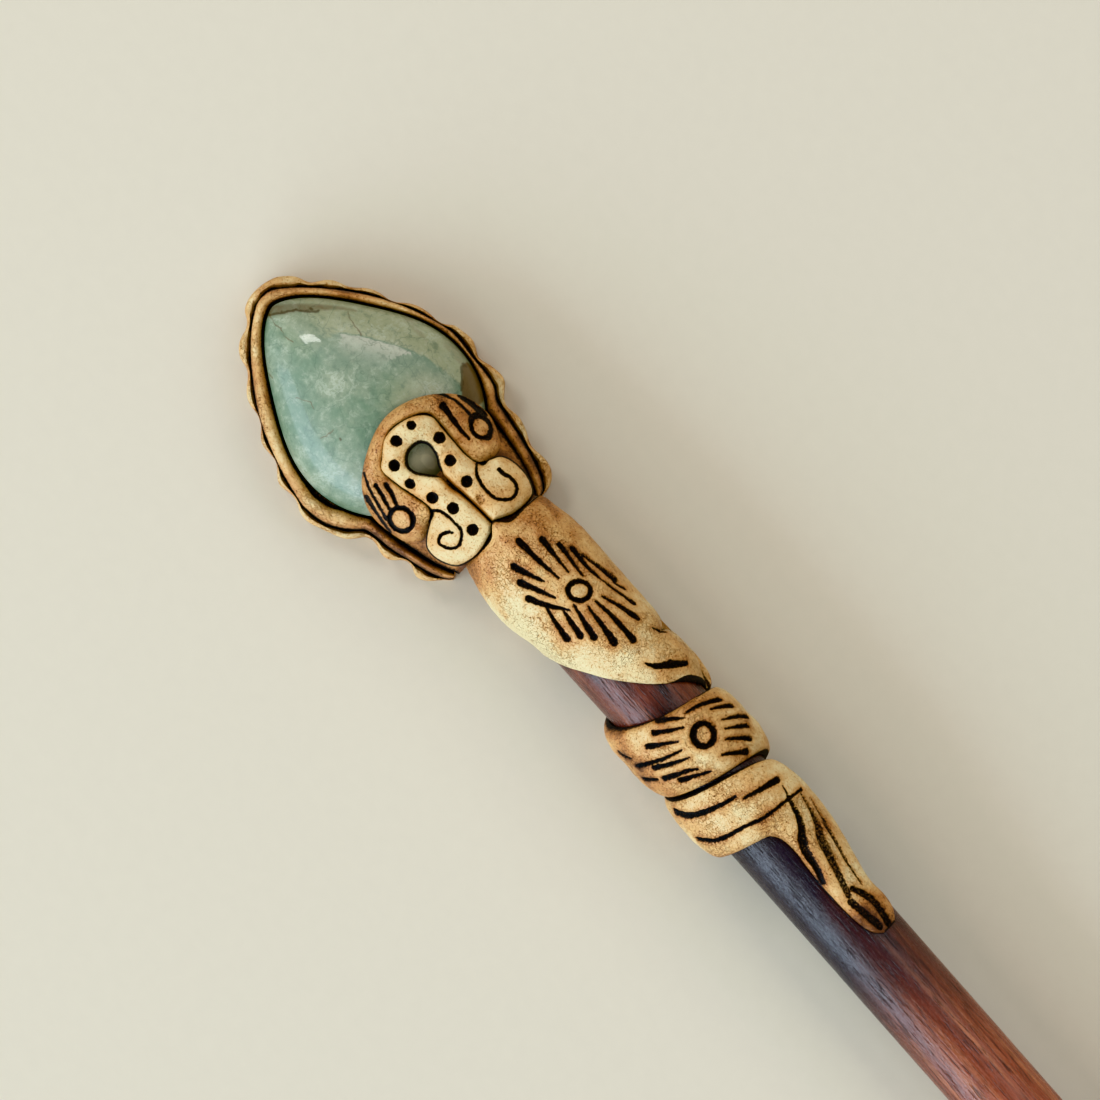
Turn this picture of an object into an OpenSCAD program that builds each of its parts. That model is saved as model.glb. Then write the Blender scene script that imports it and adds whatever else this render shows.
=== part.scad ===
// Hair stick: a turned wooden stick with a clay head that frames a pear-shaped stone,
// and a clay wrap that winds down the shaft and ends in a leaf-like tail.
// It lies on its back. The stick runs along X with its tip at +X, and Z points up.
// Plan views are given from above, with +Y on the left of somebody who looks towards the tip.

/* [Stick] */
// Diameter of the shaft below the clay
stick_d = 8.4; // [7.6:0.1:9.2]
// Diameter of the wood where the clay sleeve covers it
butt_d = 9.5; // [9:0.1:10]
// Length from the head to the tip
shaft_l = 147; // [120:1:170]
// Length of the tapered end
taper_l = 62; // [40:1:75]
// Diameter of the rounded tip
tip_d = 2.4; // [1.6:0.1:3]
// Diameter of the plain tenon inside the head
tenon_d = 4; // [3:0.1:4.4]
// Length of the tenon inside the head
tenon_l = 5; // [3:0.5:7]

/* [Stone] */
// Length of the stone from its point to its round end
stone_l = 25.3; // [23:0.1:28]
// Width of the stone
stone_w = 19.7; // [18:0.1:22]
// Height of the stone's upright edge
girdle_h = 1; // [0.6:0.1:1.6]
// Height of the dome above the edge
dome_h = 5; // [4:0.1:5.6]

/* [Head] */
// Thickness of the back plate
plate_t = 3.5; // [2.8:0.1:3.8]
// Width of the scalloped flange at its widest ordinary scallop
flange_w = 1; // [0.6:0.05:1.4]
// Width of the strand round the stone
strand_w = 1.5; // [1.2:0.05:1.8]
// Height of the strand above the plate
strand_h = 1.7; // [1.2:0.1:2.2]
// Thickness of the hood over the stone's round end
hood_t = 1.7; // [1.2:0.1:2.2]
// Thickness of the keyhole band on top
band_t = 2.1; // [1.5:0.1:2.6]
// Height of the clay bed above the stick's centre
bed_rise = 2.8; // [2.6:0.1:3.4]
// Width of the dark joint lines between the clay pieces of the head
joint_w = 0.32; // [0.26:0.02:0.5]
// Turn of the head against the stick, in degrees
head_turn = 4.2; // [3:0.1:5.5]
// Offset of the head's centre from the stick's axis
head_offset = 1.4; // [0.8:0.1:2]

/* [Clay wrap] */
// Outer diameter of the sleeve below the head
sleeve_d = 11.9; // [11.4:0.1:12.4]
// Outer diameter of the two coils
coil_d = 12.4; // [12:0.1:13]
// Outer diameter of the tail at its end
tail_d = 9.9; // [9.4:0.1:10.6]
// Length from the head to the front edge of the second coil
wrap_l = 40; // [36:0.5:46]
// Length of the tail beyond the second coil
tail_l = 14.5; // [10:0.5:20]

/* [Fit] */
// Gap that pieces keep from each other
gap = 0.14; // [0.1:0.01:0.2]

/* [Hidden] */

clay = [0.8, 0.66, 0.44];
pale_clay = [0.84, 0.74, 0.55];
brown_clay = [0.55, 0.36, 0.18];
wood = [0.3, 0.16, 0.15];
sea_green = [0.6, 0.72, 0.63];

stick_r = stick_d / 2;
butt_r = butt_d / 2;
tip_r = tip_d / 2;
tenon_r = tenon_d / 2;
sleeve_r = sleeve_d / 2;
coil_r = coil_d / 2;
tail_r = tail_d / 2;
fn_round = 64;

// The coils lie on the surface, so the shaft's axis is a coil's radius above it.
axis_z = coil_r;

// Where the wood stands below the head: the shoulder, the end of its cone, the end of the butt's taper,
// and the start of the plain shaft, which is where the tail ends.
shoulder_x = 0.6;
cone_x = 6;
plain_x = wrap_l + tail_l;
taper_x = shaft_l - taper_l;
neck_r = 0.86 * butt_r;
under_tail = 0.06;
// Columns: place along X, radius of the wood.
WOOD = [[shoulder_x, neck_r], [cone_x, butt_r], [wrap_l, stick_r + under_tail], [plain_x, stick_r]];

// The tapered end. Columns: share of the taper's length, share of the radius between shaft and tip.
TAPER = [[0, 1], [0.3, 0.83], [0.55, 0.62], [0.8, 0.33], [1, 0]];

// The stone's centre is where it is widest. Shares of its length and width.
round_share = 0.389;
point_share = 1 - round_share;
half = 0.5;
// Angle over which the sides draw in to the point, and how sharply.
point_spread = 27;
point_power = 1.5;
// Shape of the dome: how flat its middle is.
dome_power = 0.6;
stone_shift = [-0.02, 0.003];
// Room that the clay leaves round the stone.
stone_room = 1.5 * gap;

// Distance from the head's centre to the shoulder, as a share of the stone's length.
head_reach = 0.593;
head_x = -head_reach * stone_l;
// Least thickness of a clay edge.
thinnest = 0.3;

// The strand round the stone, from the end of its left arm round the point to the end of its right arm.
// Columns: along, as a share of stone_l; across, as a share of stone_w; width, as a share of strand_w.
STRAND = [
    [0.618, 0.257, 0.35], [0.59, 0.29, 0.65], [0.526, 0.329, 0.7], [0.417, 0.37, 0.72],
    [0.3, 0.401, 0.8], [0.233, 0.42, 0.85], [0.188, 0.461, 0.85], [0.142, 0.486, 0.6],
    [0.067, 0.51, 0.25], [-0.03, 0.52, 0.45], [-0.091, 0.507, 0.7], [-0.213, 0.454, 0.9],
    [-0.336, 0.382, 0.95], [-0.46, 0.281, 0.95], [-0.57, 0.161, 1], [-0.643, 0.059, 1],
    [-0.657, 0.005, 1], [-0.647, -0.048, 1], [-0.581, -0.165, 1], [-0.473, -0.293, 1],
    [-0.341, -0.412, 1], [-0.187, -0.505, 0.85], [-0.032, -0.558, 0.95], [0.027, -0.561, 1],
    [0.087, -0.546, 1.1], [0.137, -0.513, 1.15], [0.179, -0.476, 1.05], [0.22, -0.442, 0.8],
    [0.272, -0.431, 0.65], [0.352, -0.421, 0.65], [0.433, -0.4, 0.6], [0.513, -0.377, 0.6],
    [0.575, -0.347, 0.55], [0.602, -0.324, 0.35]];
STRAND_STEPS = 3;

// The flange's scallops, crest and hollow in turn.
// Columns: row of STRAND, width beyond the strand as a share of flange_w.
SCALLOPS = [
    [0, 0.3], [1.5, 1.1], [2.4, 0.55], [3.4, 0.95], [4.2, 0.65], [6, 1.4], [7.9, 0.8], [8.7, 1.05],
    [10.1, 0.12], [11.15, 0.45], [11.75, 0.25], [12.4, 0.85], [12.8, 0.55], [13.5, 1.1], [14, 0.8],
    [14.6, 1.1], [16, 1.05], [17.2, 1.1], [17.65, 0.65], [18.3, 1.25], [18.75, 0.8], [19.3, 1.3],
    [19.75, 0.7], [20.45, 1.3], [21.05, 0.4], [21.5, 1], [22, 0.5], [23.1, 0.95], [24.6, 0.85],
    [25.6, 0.9], [27.9, 0.5], [29, 0.8], [29.8, 0.5], [31, 0.85], [33, 0.35]];

// The plate's end between the arms. Columns: along and across, as shares of stone_l and stone_w.
PLATE_END = [[0.594, -0.3], [0.594, 0.235]];

// The clay bed between the arms.
// Columns: along, as a share of stone_l; right and left edges, as shares of stone_w; height, as a share of
// its rise.
BED = [
    [0.2, -0.375, 0.365, 0.78], [0.24, -0.385, 0.368, 0.85], [0.28, -0.388, 0.36, 0.92],
    [0.32, -0.385, 0.355, 0.97], [0.36, -0.38, 0.35, 1], [0.4, -0.372, 0.34, 1],
    [0.44, -0.362, 0.33, 1], [0.48, -0.352, 0.318, 1], [0.52, -0.34, 0.303, 1],
    [0.56, -0.322, 0.28, 0.98], [0.595, -0.3, 0.25, 0.92]];
// Where the bed's lip ends over the stone, as a share of stone_l, and how round its back is.
bed_front = 0.24;
bed_power = 0.75;
BED_LIP = [0, 0.35, 0.65, 0.88, 1];
// What sits on the bed follows it from a little further in, so that it clears the steep sides.
seat_inward = 0.95;
bed_rows = 14;

// The hood over the stone's round end, from its left petal to its right petal.
// Columns: outer edge along and across, inner edge along and across, as shares of stone_l and stone_w.
HOOD = [
    [0.393, 0.239, 0.386, 0.2], [0.388, 0.278, 0.37, 0.172], [0.362, 0.321, 0.334, 0.158],
    [0.258, 0.373, 0.247, 0.163], [0.138, 0.343, 0.136, 0.178], [0.043, 0.219, 0.083, 0.155],
    [-0.004, 0.071, 0.046, 0.056], [0, -0.066, 0.038, -0.036], [0.058, -0.236, 0.08, -0.125],
    [0.131, -0.344, 0.127, -0.194], [0.226, -0.395, 0.209, -0.199], [0.35, -0.38, 0.316, -0.174],
    [0.396, -0.348, 0.352, -0.171], [0.418, -0.31, 0.381, -0.187], [0.416, -0.272, 0.4, -0.226]];
HOOD_STEPS = 3;

// The keyhole band, from its left scroll round the window to its right scroll. Columns as in HOOD.
BAND = [
    [0.575, 0.055, 0.556, 0.034], [0.594, 0.108, 0.545, 0.034], [0.602, 0.185, 0.525, 0.036],
    [0.592, 0.25, 0.5, 0.038], [0.537, 0.288, 0.474, 0.04], [0.466, 0.292, 0.449, 0.04],
    [0.411, 0.268, 0.424, 0.038], [0.385, 0.21, 0.4, 0.034], [0.38, 0.17, 0.372, 0.026],
    [0.31, 0.152, 0.309, 0.02], [0.246, 0.158, 0.27, 0.036], [0.178, 0.165, 0.236, 0.06],
    [0.118, 0.17, 0.19, 0.066], [0.067, 0.112, 0.152, 0.046], [0.043, 0.018, 0.14, -0.004],
    [0.046, -0.076, 0.147, -0.055], [0.089, -0.152, 0.171, -0.09], [0.125, -0.2, 0.196, -0.101],
    [0.197, -0.196, 0.229, -0.092], [0.265, -0.18, 0.258, -0.063], [0.321, -0.167, 0.295, -0.027],
    [0.374, -0.167, 0.36, -0.016], [0.39, -0.205, 0.4, -0.008], [0.413, -0.258, 0.431, -0.004],
    [0.452, -0.313, 0.464, -0.001], [0.514, -0.319, 0.492, 0.001], [0.578, -0.277, 0.519, 0.002],
    [0.6, -0.197, 0.539, 0.001], [0.599, -0.118, 0.553, -0.001], [0.58, -0.03, 0.566, -0.002]];
BAND_STEPS = 3;

// Edge of a pad, and of a clay strip, as a share of its full thickness, and how square a pad's profile is.
pad_edge = 0.35;
pad_power = 2.6;
strip_edge = 0.25;

// The sleeve's front edge, by the turn angle: 0 on top, 90 on the left, 180 below.
// Columns: angle, place along X as a share of wrap_l.
SLEEVE_FRONT = [
    [-270, 0.437], [-225, 0.385], [-180, 0.35], [-130, 0.32], [-90, 0.312], [-50, 0.382],
    [-24, 0.45], [0, 0.507], [18, 0.542], [43, 0.575], [75, 0.612], [100, 0.632]];
// The sleeve's rounded back end. Columns: distance from its end in sleeve diameters, share of its radius.
SLEEVE_BACK = [[0, 0.78], [0.06, 0.85], [0.16, 0.91], [0.26, 0.965], [0.4, 1]];
sleeve_start = 0.62;
seam_start = -259;
seam_end = 98.5;
sleeve_steps = 32;

// The strip that leaves the sleeve, winds round the shaft twice and runs out in the tail.
// Columns: angle, back edge and front edge along X, as shares of wrap_l.
WINDING = [
    [99.7, 0.444, 0.632], [135, 0.464, 0.66], [180, 0.49, 0.69], [225, 0.513, 0.725],
    [270, 0.54, 0.758], [315, 0.575, 0.785], [360, 0.607, 0.808], [405, 0.628, 0.825],
    [450, 0.65, 0.845], [495, 0.68, 0.872], [540, 0.712, 0.9], [585, 0.745, 0.932],
    [630, 0.776, 0.958], [675, 0.802, 0.975], [700, 0.815, 0.985]];
// The tail. Columns: angle and place of its left edge, angle and place of its right edge, share of the way
// from the coil's radius to the tail's. A place is a share of tail_l beyond wrap_l.
TAIL = [
    [735, -0.46, 715, -0.02, 0], [765, -0.42, 719, 0, 0.05], [792, -0.36, 722, 0.02, 0.12],
    [812, -0.2, 726, 0.07, 0.2], [822, 0, 728, 0.17, 0.3], [818, 0.2, 726, 0.32, 0.45],
    [803, 0.36, 724.5, 0.46, 0.6], [789, 0.52, 725, 0.6, 0.72], [782, 0.66, 726, 0.72, 0.8],
    [786, 0.8, 728, 0.82, 0.88], [781, 0.91, 734, 0.92, 0.94], [768, 0.98, 745, 0.98, 1]];
WRAP_STEPS = 3;

// A curve through every row of a table, with steps pieces between two rows.
function bend(a, b, c, d, t) =
    half * (2 * b + (c - a) * t + (2 * a - 5 * b + 4 * c - d) * t * t + (3 * b - a - 3 * c + d) * t * t * t);
function smooth(rows, steps) = let (last = len(rows) - 1) [
    for (i = [0:last - 1])
        for (k = [0:steps - 1])
            bend(rows[max(i - 1, 0)], rows[i], rows[i + 1], rows[min(i + 2, last)], k / steps),
    rows[last]];
function eased(low, high, t) = low + (high - low) * (1 - cos(180 * t)) / 2;
function scallop(at, i = 0) =
    i >= len(SCALLOPS) - 2 || at < SCALLOPS[i + 1][0]
    ? eased(SCALLOPS[i][1], SCALLOPS[i + 1][1],
            min(1, (at - SCALLOPS[i][0]) / (SCALLOPS[i + 1][0] - SCALLOPS[i][0])))
    : scallop(at, i + 1);
function across(v) = [-v[1], v[0]] / norm(v);
function mix(a, b, t) = a + (b - a) * t;

// The stone's outline, and how far out a point is: 0 at the centre and 1 on the outline.
function point_pull(angle) =
    1 + (point_share / round_share - 1) * exp(-pow(abs(angle) / point_spread, point_power));
stone_middle = [stone_shift[0] * stone_l, stone_shift[1] * stone_w];
// A level of the dome is a ring: at share 1 it is the outline, and inner ones draw in to a plain oval.
function stone_ring(angle, share, grow = 0) =
    stone_middle + share * (1 + (point_pull(angle) - 1) * share * share) * [
        -(round_share * stone_l + grow) * cos(angle), (half * stone_w + grow) * sin(angle)];
function ring_of(out, pull, share, tries) =
    tries == 0 ? share
    : let (miss = share + pull * pow(share, 3) - out, slope = 1 + 3 * pull * share * share)
        ring_of(out, pull, share - miss / slope, tries - 1);
function stone_out(p, grow = 0) = let (
        x = -(p[0] - stone_middle[0]) / (round_share * stone_l + grow),
        y = (p[1] - stone_middle[1]) / (half * stone_w + grow),
        out = norm([x, y]))
    ring_of(out, point_pull(atan2(y, x)) - 1, min(out, 1), 5);
// A point that is moved straight out from the stone's middle until it has room there.
function off_stone(p, room) = let (
        way = p - stone_middle,
        edge = stone_ring(atan2(way[1] / (half * stone_w), -way[0] / (round_share * stone_l)), 1, room))
    norm(way) >= norm(edge - stone_middle) ? p : edge;

// The strand's two edges, and the flange beyond it, as lists of points in plan.
strand_rows = smooth([for (r = STRAND) [r[0] * stone_l, r[1] * stone_w, r[2] * strand_w]], STRAND_STEPS);
function strand_side(i) = let (last = len(strand_rows) - 1,
        ahead = strand_rows[min(i + 1, last)],
        behind = strand_rows[max(i - 1, 0)])
    across([behind[0] - ahead[0], behind[1] - ahead[1]]);
function strand_at(i, shift) = [strand_rows[i][0], strand_rows[i][1]] + shift * strand_side(i);
strand_inner = [for (i = [0:len(strand_rows) - 1])
    off_stone(strand_at(i, -strand_rows[i][2] / 2), stone_room)];
strand_outer = [for (i = [0:len(strand_rows) - 1])
    off_stone(strand_at(i, strand_rows[i][2] / 2), stone_room + thinnest)];
flange_edge = [for (i = [0:len(strand_rows) - 1])
    strand_outer[i] + flange_w * scallop(i / STRAND_STEPS) * strand_side(i)];

// The plate's end, drawn back from the sleeve.
plate_end = [for (r = PLATE_END) [r[0] * stone_l, r[1] * stone_w]];

// From the head's own plane to the stick's frame.
function from_head(p) = [
    head_x + p[0] * cos(head_turn) - p[1] * sin(head_turn),
    -head_offset + p[0] * sin(head_turn) + p[1] * cos(head_turn)];
head_plan = [for (p = flange_edge) from_head(p)];
low_x = min([for (p = head_plan) p[0]]);
low_y = min([for (p = head_plan) p[1]]);
high_y = max([for (p = head_plan) p[1]]);
middle = [(low_x + shaft_l) / 2, (low_y + high_y) / 2];

// The stone's top with room over it.
function over_stone(p, room) =
    plate_t + gap + girdle_h + room + dome_h * pow(max(0, 1 - pow(stone_out(p, room), 2)), dome_power);

// The bed's back, which carries the hood and the band beyond the stone.
bed_side = plate_t + strand_h;
bed_ridge = axis_z + bed_rise - bed_side;
bed_rights = [for (r = BED) [r[0] * stone_l, r[1] * stone_w]];
bed_lefts = [for (r = BED) [r[0] * stone_l, r[2] * stone_w]];
bed_rises = [for (r = BED) [r[0] * stone_l, r[3] * bed_ridge]];
bed_crown_x = BED[0][0] * stone_l;
bed_front_x = bed_front * stone_l;
bed_end_x = BED[len(BED) - 1][0] * stone_l;
function bed_back(p, inward = 1) = let (
        right = lookup(p[0], bed_rights),
        left = lookup(p[0], bed_lefts),
        place = inward * (2 * p[1] - right - left) / (left - right))
    bed_side + lookup(p[0], bed_rises) * pow(max(0, 1 - place * place), bed_power);
// The bed thins out in a lip over the stone.
function bed_top(p, inward = 1) = max(bed_back(p, inward), over_stone(p, gap)
    + thinnest * min(1, (p[0] - bed_crown_x) / (bed_front_x - bed_crown_x)));
function seat(p) = max(over_stone(p, gap), (p[0] < bed_crown_x ? 0 : bed_top(p, seat_inward) + gap));

function wood_r(x) = lookup(x, WOOD);

// A closed body through loops of points. A loop is its upper points from side to side, then its lower ones.
module skin(loops) {
    rows = len(loops);
    points = len(loops[0]);
    count = points / 2;
    sides = [for (i = [0:rows - 2])
        for (j = [0:points - 1])
            let (a = i * points + j, b = i * points + (j + 1) % points)
                each [[a, b, a + points], [b, b + points, a + points]]];
    function cap(row, flip) = [for (j = [0:count - 2])
        let (a = row * points + j, b = a + 1, c = row * points + points - 1 - j, d = c - 1)
            each flip ? [[a, d, b], [a, c, d]] : [[a, b, d], [a, d, c]]];
    polyhedron(points = [for (l = loops) each l], faces = concat(sides, cap(0, true), cap(rows - 1, false)));
}

// A loop across a pad, from its outer edge to its inner edge, which seats on what is under it.
function pad_loop(outer, inner, thick, count, floor_z) = let (
        shares = [for (j = [0:count - 1]) (1 - cos(180 * j / (count - 1))) / 2],
        swell = [for (t = shares) pow(1 - pow(abs(2 * t - 1), pad_power), 1 / pad_power)],
        spots = [for (t = shares) mix(outer, inner, t)],
        floors = [for (p = spots) floor_z == undef ? seat(p) : floor_z])
    concat(
        [for (j = [0:count - 1])
            [spots[j][0], spots[j][1], floors[j] + thick * mix(pad_edge, 1, swell[j])]],
        [for (j = [count - 1:-1:0]) [spots[j][0], spots[j][1], floors[j]]]);

// A loop across a clay strip on the shaft, between two spots that are given as an angle and a place.
function strip_loop(back, front, radii, count) = let (
        shares = [for (j = [0:count - 1]) (1 - cos(180 * j / (count - 1))) / 2],
        spots = [for (t = shares) mix(front, back, t)],
        wood = [for (s = spots) wood_r(s[1]) + gap],
        outer = [for (j = [0:count - 1])
            mix(wood[j], radii[j], mix(strip_edge, 1, pow(sin(180 * j / (count - 1)), half)))])
    concat(
        [for (j = [0:count - 1]) on_shaft(spots[j], outer[j])],
        [for (j = [count - 1:-1:0]) on_shaft(spots[j], wood[j])]);
function on_shaft(spot, r) = [spot[1], r * sin(spot[0]), axis_z + r * cos(spot[0])];

// Puts children from the head's plane into the stick's frame.
module in_head() {
    translate([head_x, -head_offset, 0])
        rotate([0, 0, head_turn])
            children();
}

// Puts the middle of the whole outline on the origin.
module placed() {
    translate([-middle[0], -middle[1], 0])
        children();
}

module stick_body() {
    translate([0, 0, axis_z])
        rotate([0, 90, 0])
            rotate_extrude($fn = fn_round)
                polygon(concat(
                    [[0, -tenon_l], [tenon_r, -tenon_l], [tenon_r, shoulder_x]],
                    [for (r = WOOD) [r[1], r[0]]],
                    [for (r = TAPER)
                        [mix(tip_r, stick_r, r[1]), taper_x + r[0] * (taper_l - tip_r)]],
                    [[0, shaft_l - tip_r]]));
    translate([shaft_l - tip_r, 0, axis_z])
        sphere(tip_r, $fn = fn_round);
}

module stick() {
    color(wood)
        placed()
            stick_body();
}

module back_plate() {
    color(clay)
        placed()
            difference() {
                in_head()
                    linear_extrude(plate_t)
                        polygon(concat(flange_edge, plate_end));
                translate([-tenon_l - gap, 0, axis_z])
                    rotate([0, 90, 0])
                        cylinder(r = tenon_r + gap, h = 2 * tenon_l, $fn = fn_round);
            }
}

module rim_strand() {
    points = 5;
    color(clay)
        placed()
            in_head()
                skin([for (i = [0:len(strand_rows) - 1])
                    pad_loop(strand_outer[i], strand_inner[i], strand_h - gap, points, plate_t + gap)]);
}

// The stone is a foot, a stack of rings and a top.
module stone_body() {
    sides = 48;
    ring_count = 9;
    levels = [for (k = [0:ring_count - 1]) cos(90 * k / ring_count)];
    low = plate_t + gap;
    rings = concat(
        [[for (a = [0:sides - 1]) [each stone_ring(360 * a / sides, 1), low]]],
        [for (s = levels) [for (a = [0:sides - 1])
            let (p = stone_ring(360 * a / sides, s))
                [each p, plate_t + gap + girdle_h + dome_h * pow(max(0, 1 - s * s), dome_power)]]]);
    top = [each stone_middle, plate_t + gap + girdle_h + dome_h];
    bottom = [each stone_middle, low];
    count = len(rings);
    walls = [for (i = [0:count - 2])
        for (j = [0:sides - 1])
            let (a = i * sides + j, b = i * sides + (j + 1) % sides)
                each [[a, a + sides, b], [b, a + sides, b + sides]]];
    ends = [for (j = [0:sides - 1])
        let (k = (j + 1) % sides, last = (count - 1) * sides)
            each [[last + j, count * sides, last + k], [j, k, count * sides + 1]]];
    polyhedron(points = concat([for (r = rings) each r], [top, bottom]), faces = concat(walls, ends));
}

module stone() {
    color(sea_green)
        placed()
            in_head()
                stone_body();
}

// Where a line along the bed meets the stone's round end, found by a few tries.
function bed_y(x, share) = mix(lookup(x, bed_rights), lookup(x, bed_lefts), share);
function stone_back_x(y) = stone_middle[0] + (round_share * stone_l + stone_room)
    * sqrt(max(0, 1 - pow((y - stone_middle[1]) / (half * stone_w + stone_room), 2)));
function bed_meets(share, x, tries) =
    tries == 0 ? x : bed_meets(share, stone_back_x(bed_y(x, share)), tries - 1);

// A loop along the bed: its back from the lip to the end, then its foot, the stone's edge and the lip.
function bed_loop(share) = let (
        meets = bed_meets(share, bed_front_x, 3),
        start = min(bed_front_x, meets - thinnest),
        count = len(BED_LIP) + 3,
        backs = [for (j = [0:count - 1])
            let (x = mix(start, bed_end_x, j / (count - 1)), p = [x, bed_y(x, share)])
                [each p, bed_top(p)]],
        lips = [for (t = BED_LIP)
            let (x = mix(start, meets, t), p = [x, bed_y(x, share)])
                [each p, over_stone(p, gap)]],
        feet = [for (x = [meets, (meets + bed_end_x) / 2, bed_end_x])
            [x, bed_y(x, share), plate_t + gap]],
        under = concat(lips, feet))
    concat(backs, [for (j = [count - 1:-1:0]) under[j]]);

module bed() {
    color(brown_clay)
        placed()
            difference() {
                in_head()
                    skin([for (i = [bed_rows:-1:0]) bed_loop((1 - cos(180 * i / bed_rows)) / 2)]);
                translate([-tenon_l - gap, 0, axis_z])
                    rotate([0, 90, 0])
                        cylinder(r = tenon_r + gap, h = 2 * tenon_l, $fn = fn_round);
            }
}

// A pad between an outer and an inner edge that a table gives, each drawn in to leave room for a joint line.
module edged_pad(table, steps, thick, count, outer_in, inner_in) {
    rows = smooth([for (r = table) [r[0] * stone_l, r[1] * stone_w, r[2] * stone_l, r[3] * stone_w]], steps);
    skin([for (r = rows)
        let (
            outer = [r[0], r[1]],
            inner = [r[2], r[3]],
            way = (inner - outer) / norm(inner - outer))
        pad_loop(outer + outer_in * way, inner - inner_in * way, thick, count)]);
}

module hood() {
    hood_points = 8;
    color(clay)
        placed()
            in_head()
                edged_pad(HOOD, HOOD_STEPS, hood_t, hood_points, 0, joint_w / 2);
}

module keyhole_band() {
    band_points = 7;
    color(pale_clay)
        placed()
            in_head()
                edged_pad(BAND, BAND_STEPS, band_t, band_points, joint_w / 2, 0);
}

// The sleeve's radius at a place along X, drawn in at the end that meets the head.
function sleeve_out(x) = sleeve_r * lookup((x - sleeve_start) / sleeve_d, SLEEVE_BACK);

module sleeve() {
    count = 12;
    front = smooth(SLEEVE_FRONT, 4);
    color(clay)
        placed()
            skin([for (i = [0:sleeve_steps])
                let (
                    turn = mix(seam_start, seam_end, i / sleeve_steps),
                    reach = wrap_l * lookup(turn, front),
                    places = [for (j = [0:count - 1])
                        mix(reach, sleeve_start, (1 - cos(180 * j / (count - 1))) / 2)])
                strip_loop([turn, sleeve_start], [turn, reach], [for (x = places) sleeve_out(x)], count)]);
}

module coil_tail() {
    count = 8;
    turns = [for (r = WINDING) [r[0], r[1] * wrap_l, r[0], r[2] * wrap_l, 0]];
    ends = [for (r = TAIL) [r[0], wrap_l + r[1] * tail_l, r[2], wrap_l + r[3] * tail_l, r[4]]];
    rows = smooth(concat(turns, ends), WRAP_STEPS);
    color(clay)
        placed()
            skin([for (r = rows)
                let (radii = [for (j = [1:count]) mix(coil_r, tail_r, r[4])])
                    strip_loop([r[0], r[1]], [r[2], r[3]], radii, count)]);
}

stick();
back_plate();
rim_strand();
stone();
bed();
hood();
keyhole_band();
sleeve();
coil_tail();
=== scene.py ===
"""The looks of a hair stick with a clay head round a pear-shaped stone.

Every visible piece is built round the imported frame. Sizes are in millimetres and lie in the stick's own
frame: x runs along the stick from the head's shoulder to the tip, y to the left and z up from the surface.
"""

import logging
import math
from collections.abc import Callable, Sequence
from dataclasses import dataclass
from enum import Enum
from typing import Any, ClassVar

import bmesh
import bpy
import numpy as np
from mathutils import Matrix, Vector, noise
from mathutils.geometry import delaunay_2d_cdt


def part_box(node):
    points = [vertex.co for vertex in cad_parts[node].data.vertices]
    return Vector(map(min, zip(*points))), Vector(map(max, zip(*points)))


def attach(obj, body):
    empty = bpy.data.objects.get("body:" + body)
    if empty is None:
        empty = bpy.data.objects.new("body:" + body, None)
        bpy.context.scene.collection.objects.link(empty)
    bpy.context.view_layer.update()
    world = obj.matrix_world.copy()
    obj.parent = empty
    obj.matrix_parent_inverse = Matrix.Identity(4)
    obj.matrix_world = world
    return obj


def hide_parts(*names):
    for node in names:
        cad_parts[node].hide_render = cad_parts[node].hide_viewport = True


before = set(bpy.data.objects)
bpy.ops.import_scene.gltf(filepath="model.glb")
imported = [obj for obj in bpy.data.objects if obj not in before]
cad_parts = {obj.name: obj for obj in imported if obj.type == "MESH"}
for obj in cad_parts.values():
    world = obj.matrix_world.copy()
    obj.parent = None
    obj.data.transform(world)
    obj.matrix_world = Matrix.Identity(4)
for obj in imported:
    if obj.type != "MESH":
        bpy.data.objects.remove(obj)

LOG = logging.getLogger("hair_stick")
Array = np.ndarray
Rows = Sequence[Sequence[float]]
Tint = tuple[int, int, int]
Colour = tuple[float, float, float]

MM = 0.001
DETAIL = 1.0
# The photograph's viewpoint in the stick's frame.
EYE = (4.98, 2.12, 454.0)
# Length of the stick's hidden end in the head. It stands in front of the shoulder, at which x is 0.
TENON = 5.0
# How long a radian is where the clay round the stick is laid flat.
UNROLLED = 6.0


def fine(count: int) -> int:
    return max(3, round(count * DETAIL))


def eased(share: Array) -> Array:
    """A soft step from 0 to 1, for values from 0 to 1."""
    share = np.clip(share, 0, 1)
    return share * share * (3 - 2 * share)


def rounded(share: Array) -> Array:
    """A quarter circle that rises from 0 to 1, for a share of the rounding."""
    return np.sqrt(1 - (1 - np.clip(share, 0, 1)) ** 2)


def softer_of(first: Array, second: Array, blend: float) -> Array:
    """The higher of two surfaces, with a soft valley of the width blend between them."""
    return (first + second + np.sqrt((first - second) ** 2 + blend * blend)) / 2


def through(rows: Rows, steps: int) -> Array:
    """A smooth curve through every row of a table.

    Args:
        rows: The table.
        steps: Points from one row to the next.

    Returns:
        The table with the rows in between.
    """
    table = np.asarray(rows, float)
    padded = np.vstack([table[:1], table, table[-1:]])
    t = (np.arange(steps) / steps)[:, None]
    parts = [
        0.5 * (2 * b + (c - a) * t + (2 * a - 5 * b + 4 * c - d) * t**2 + (3 * b - a - 3 * c + d) * t**3)
        for a, b, c, d in zip(padded[:-3], padded[1:-2], padded[2:-1], padded[3:])
    ]
    return np.vstack([*parts, table[-1:]])


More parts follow.
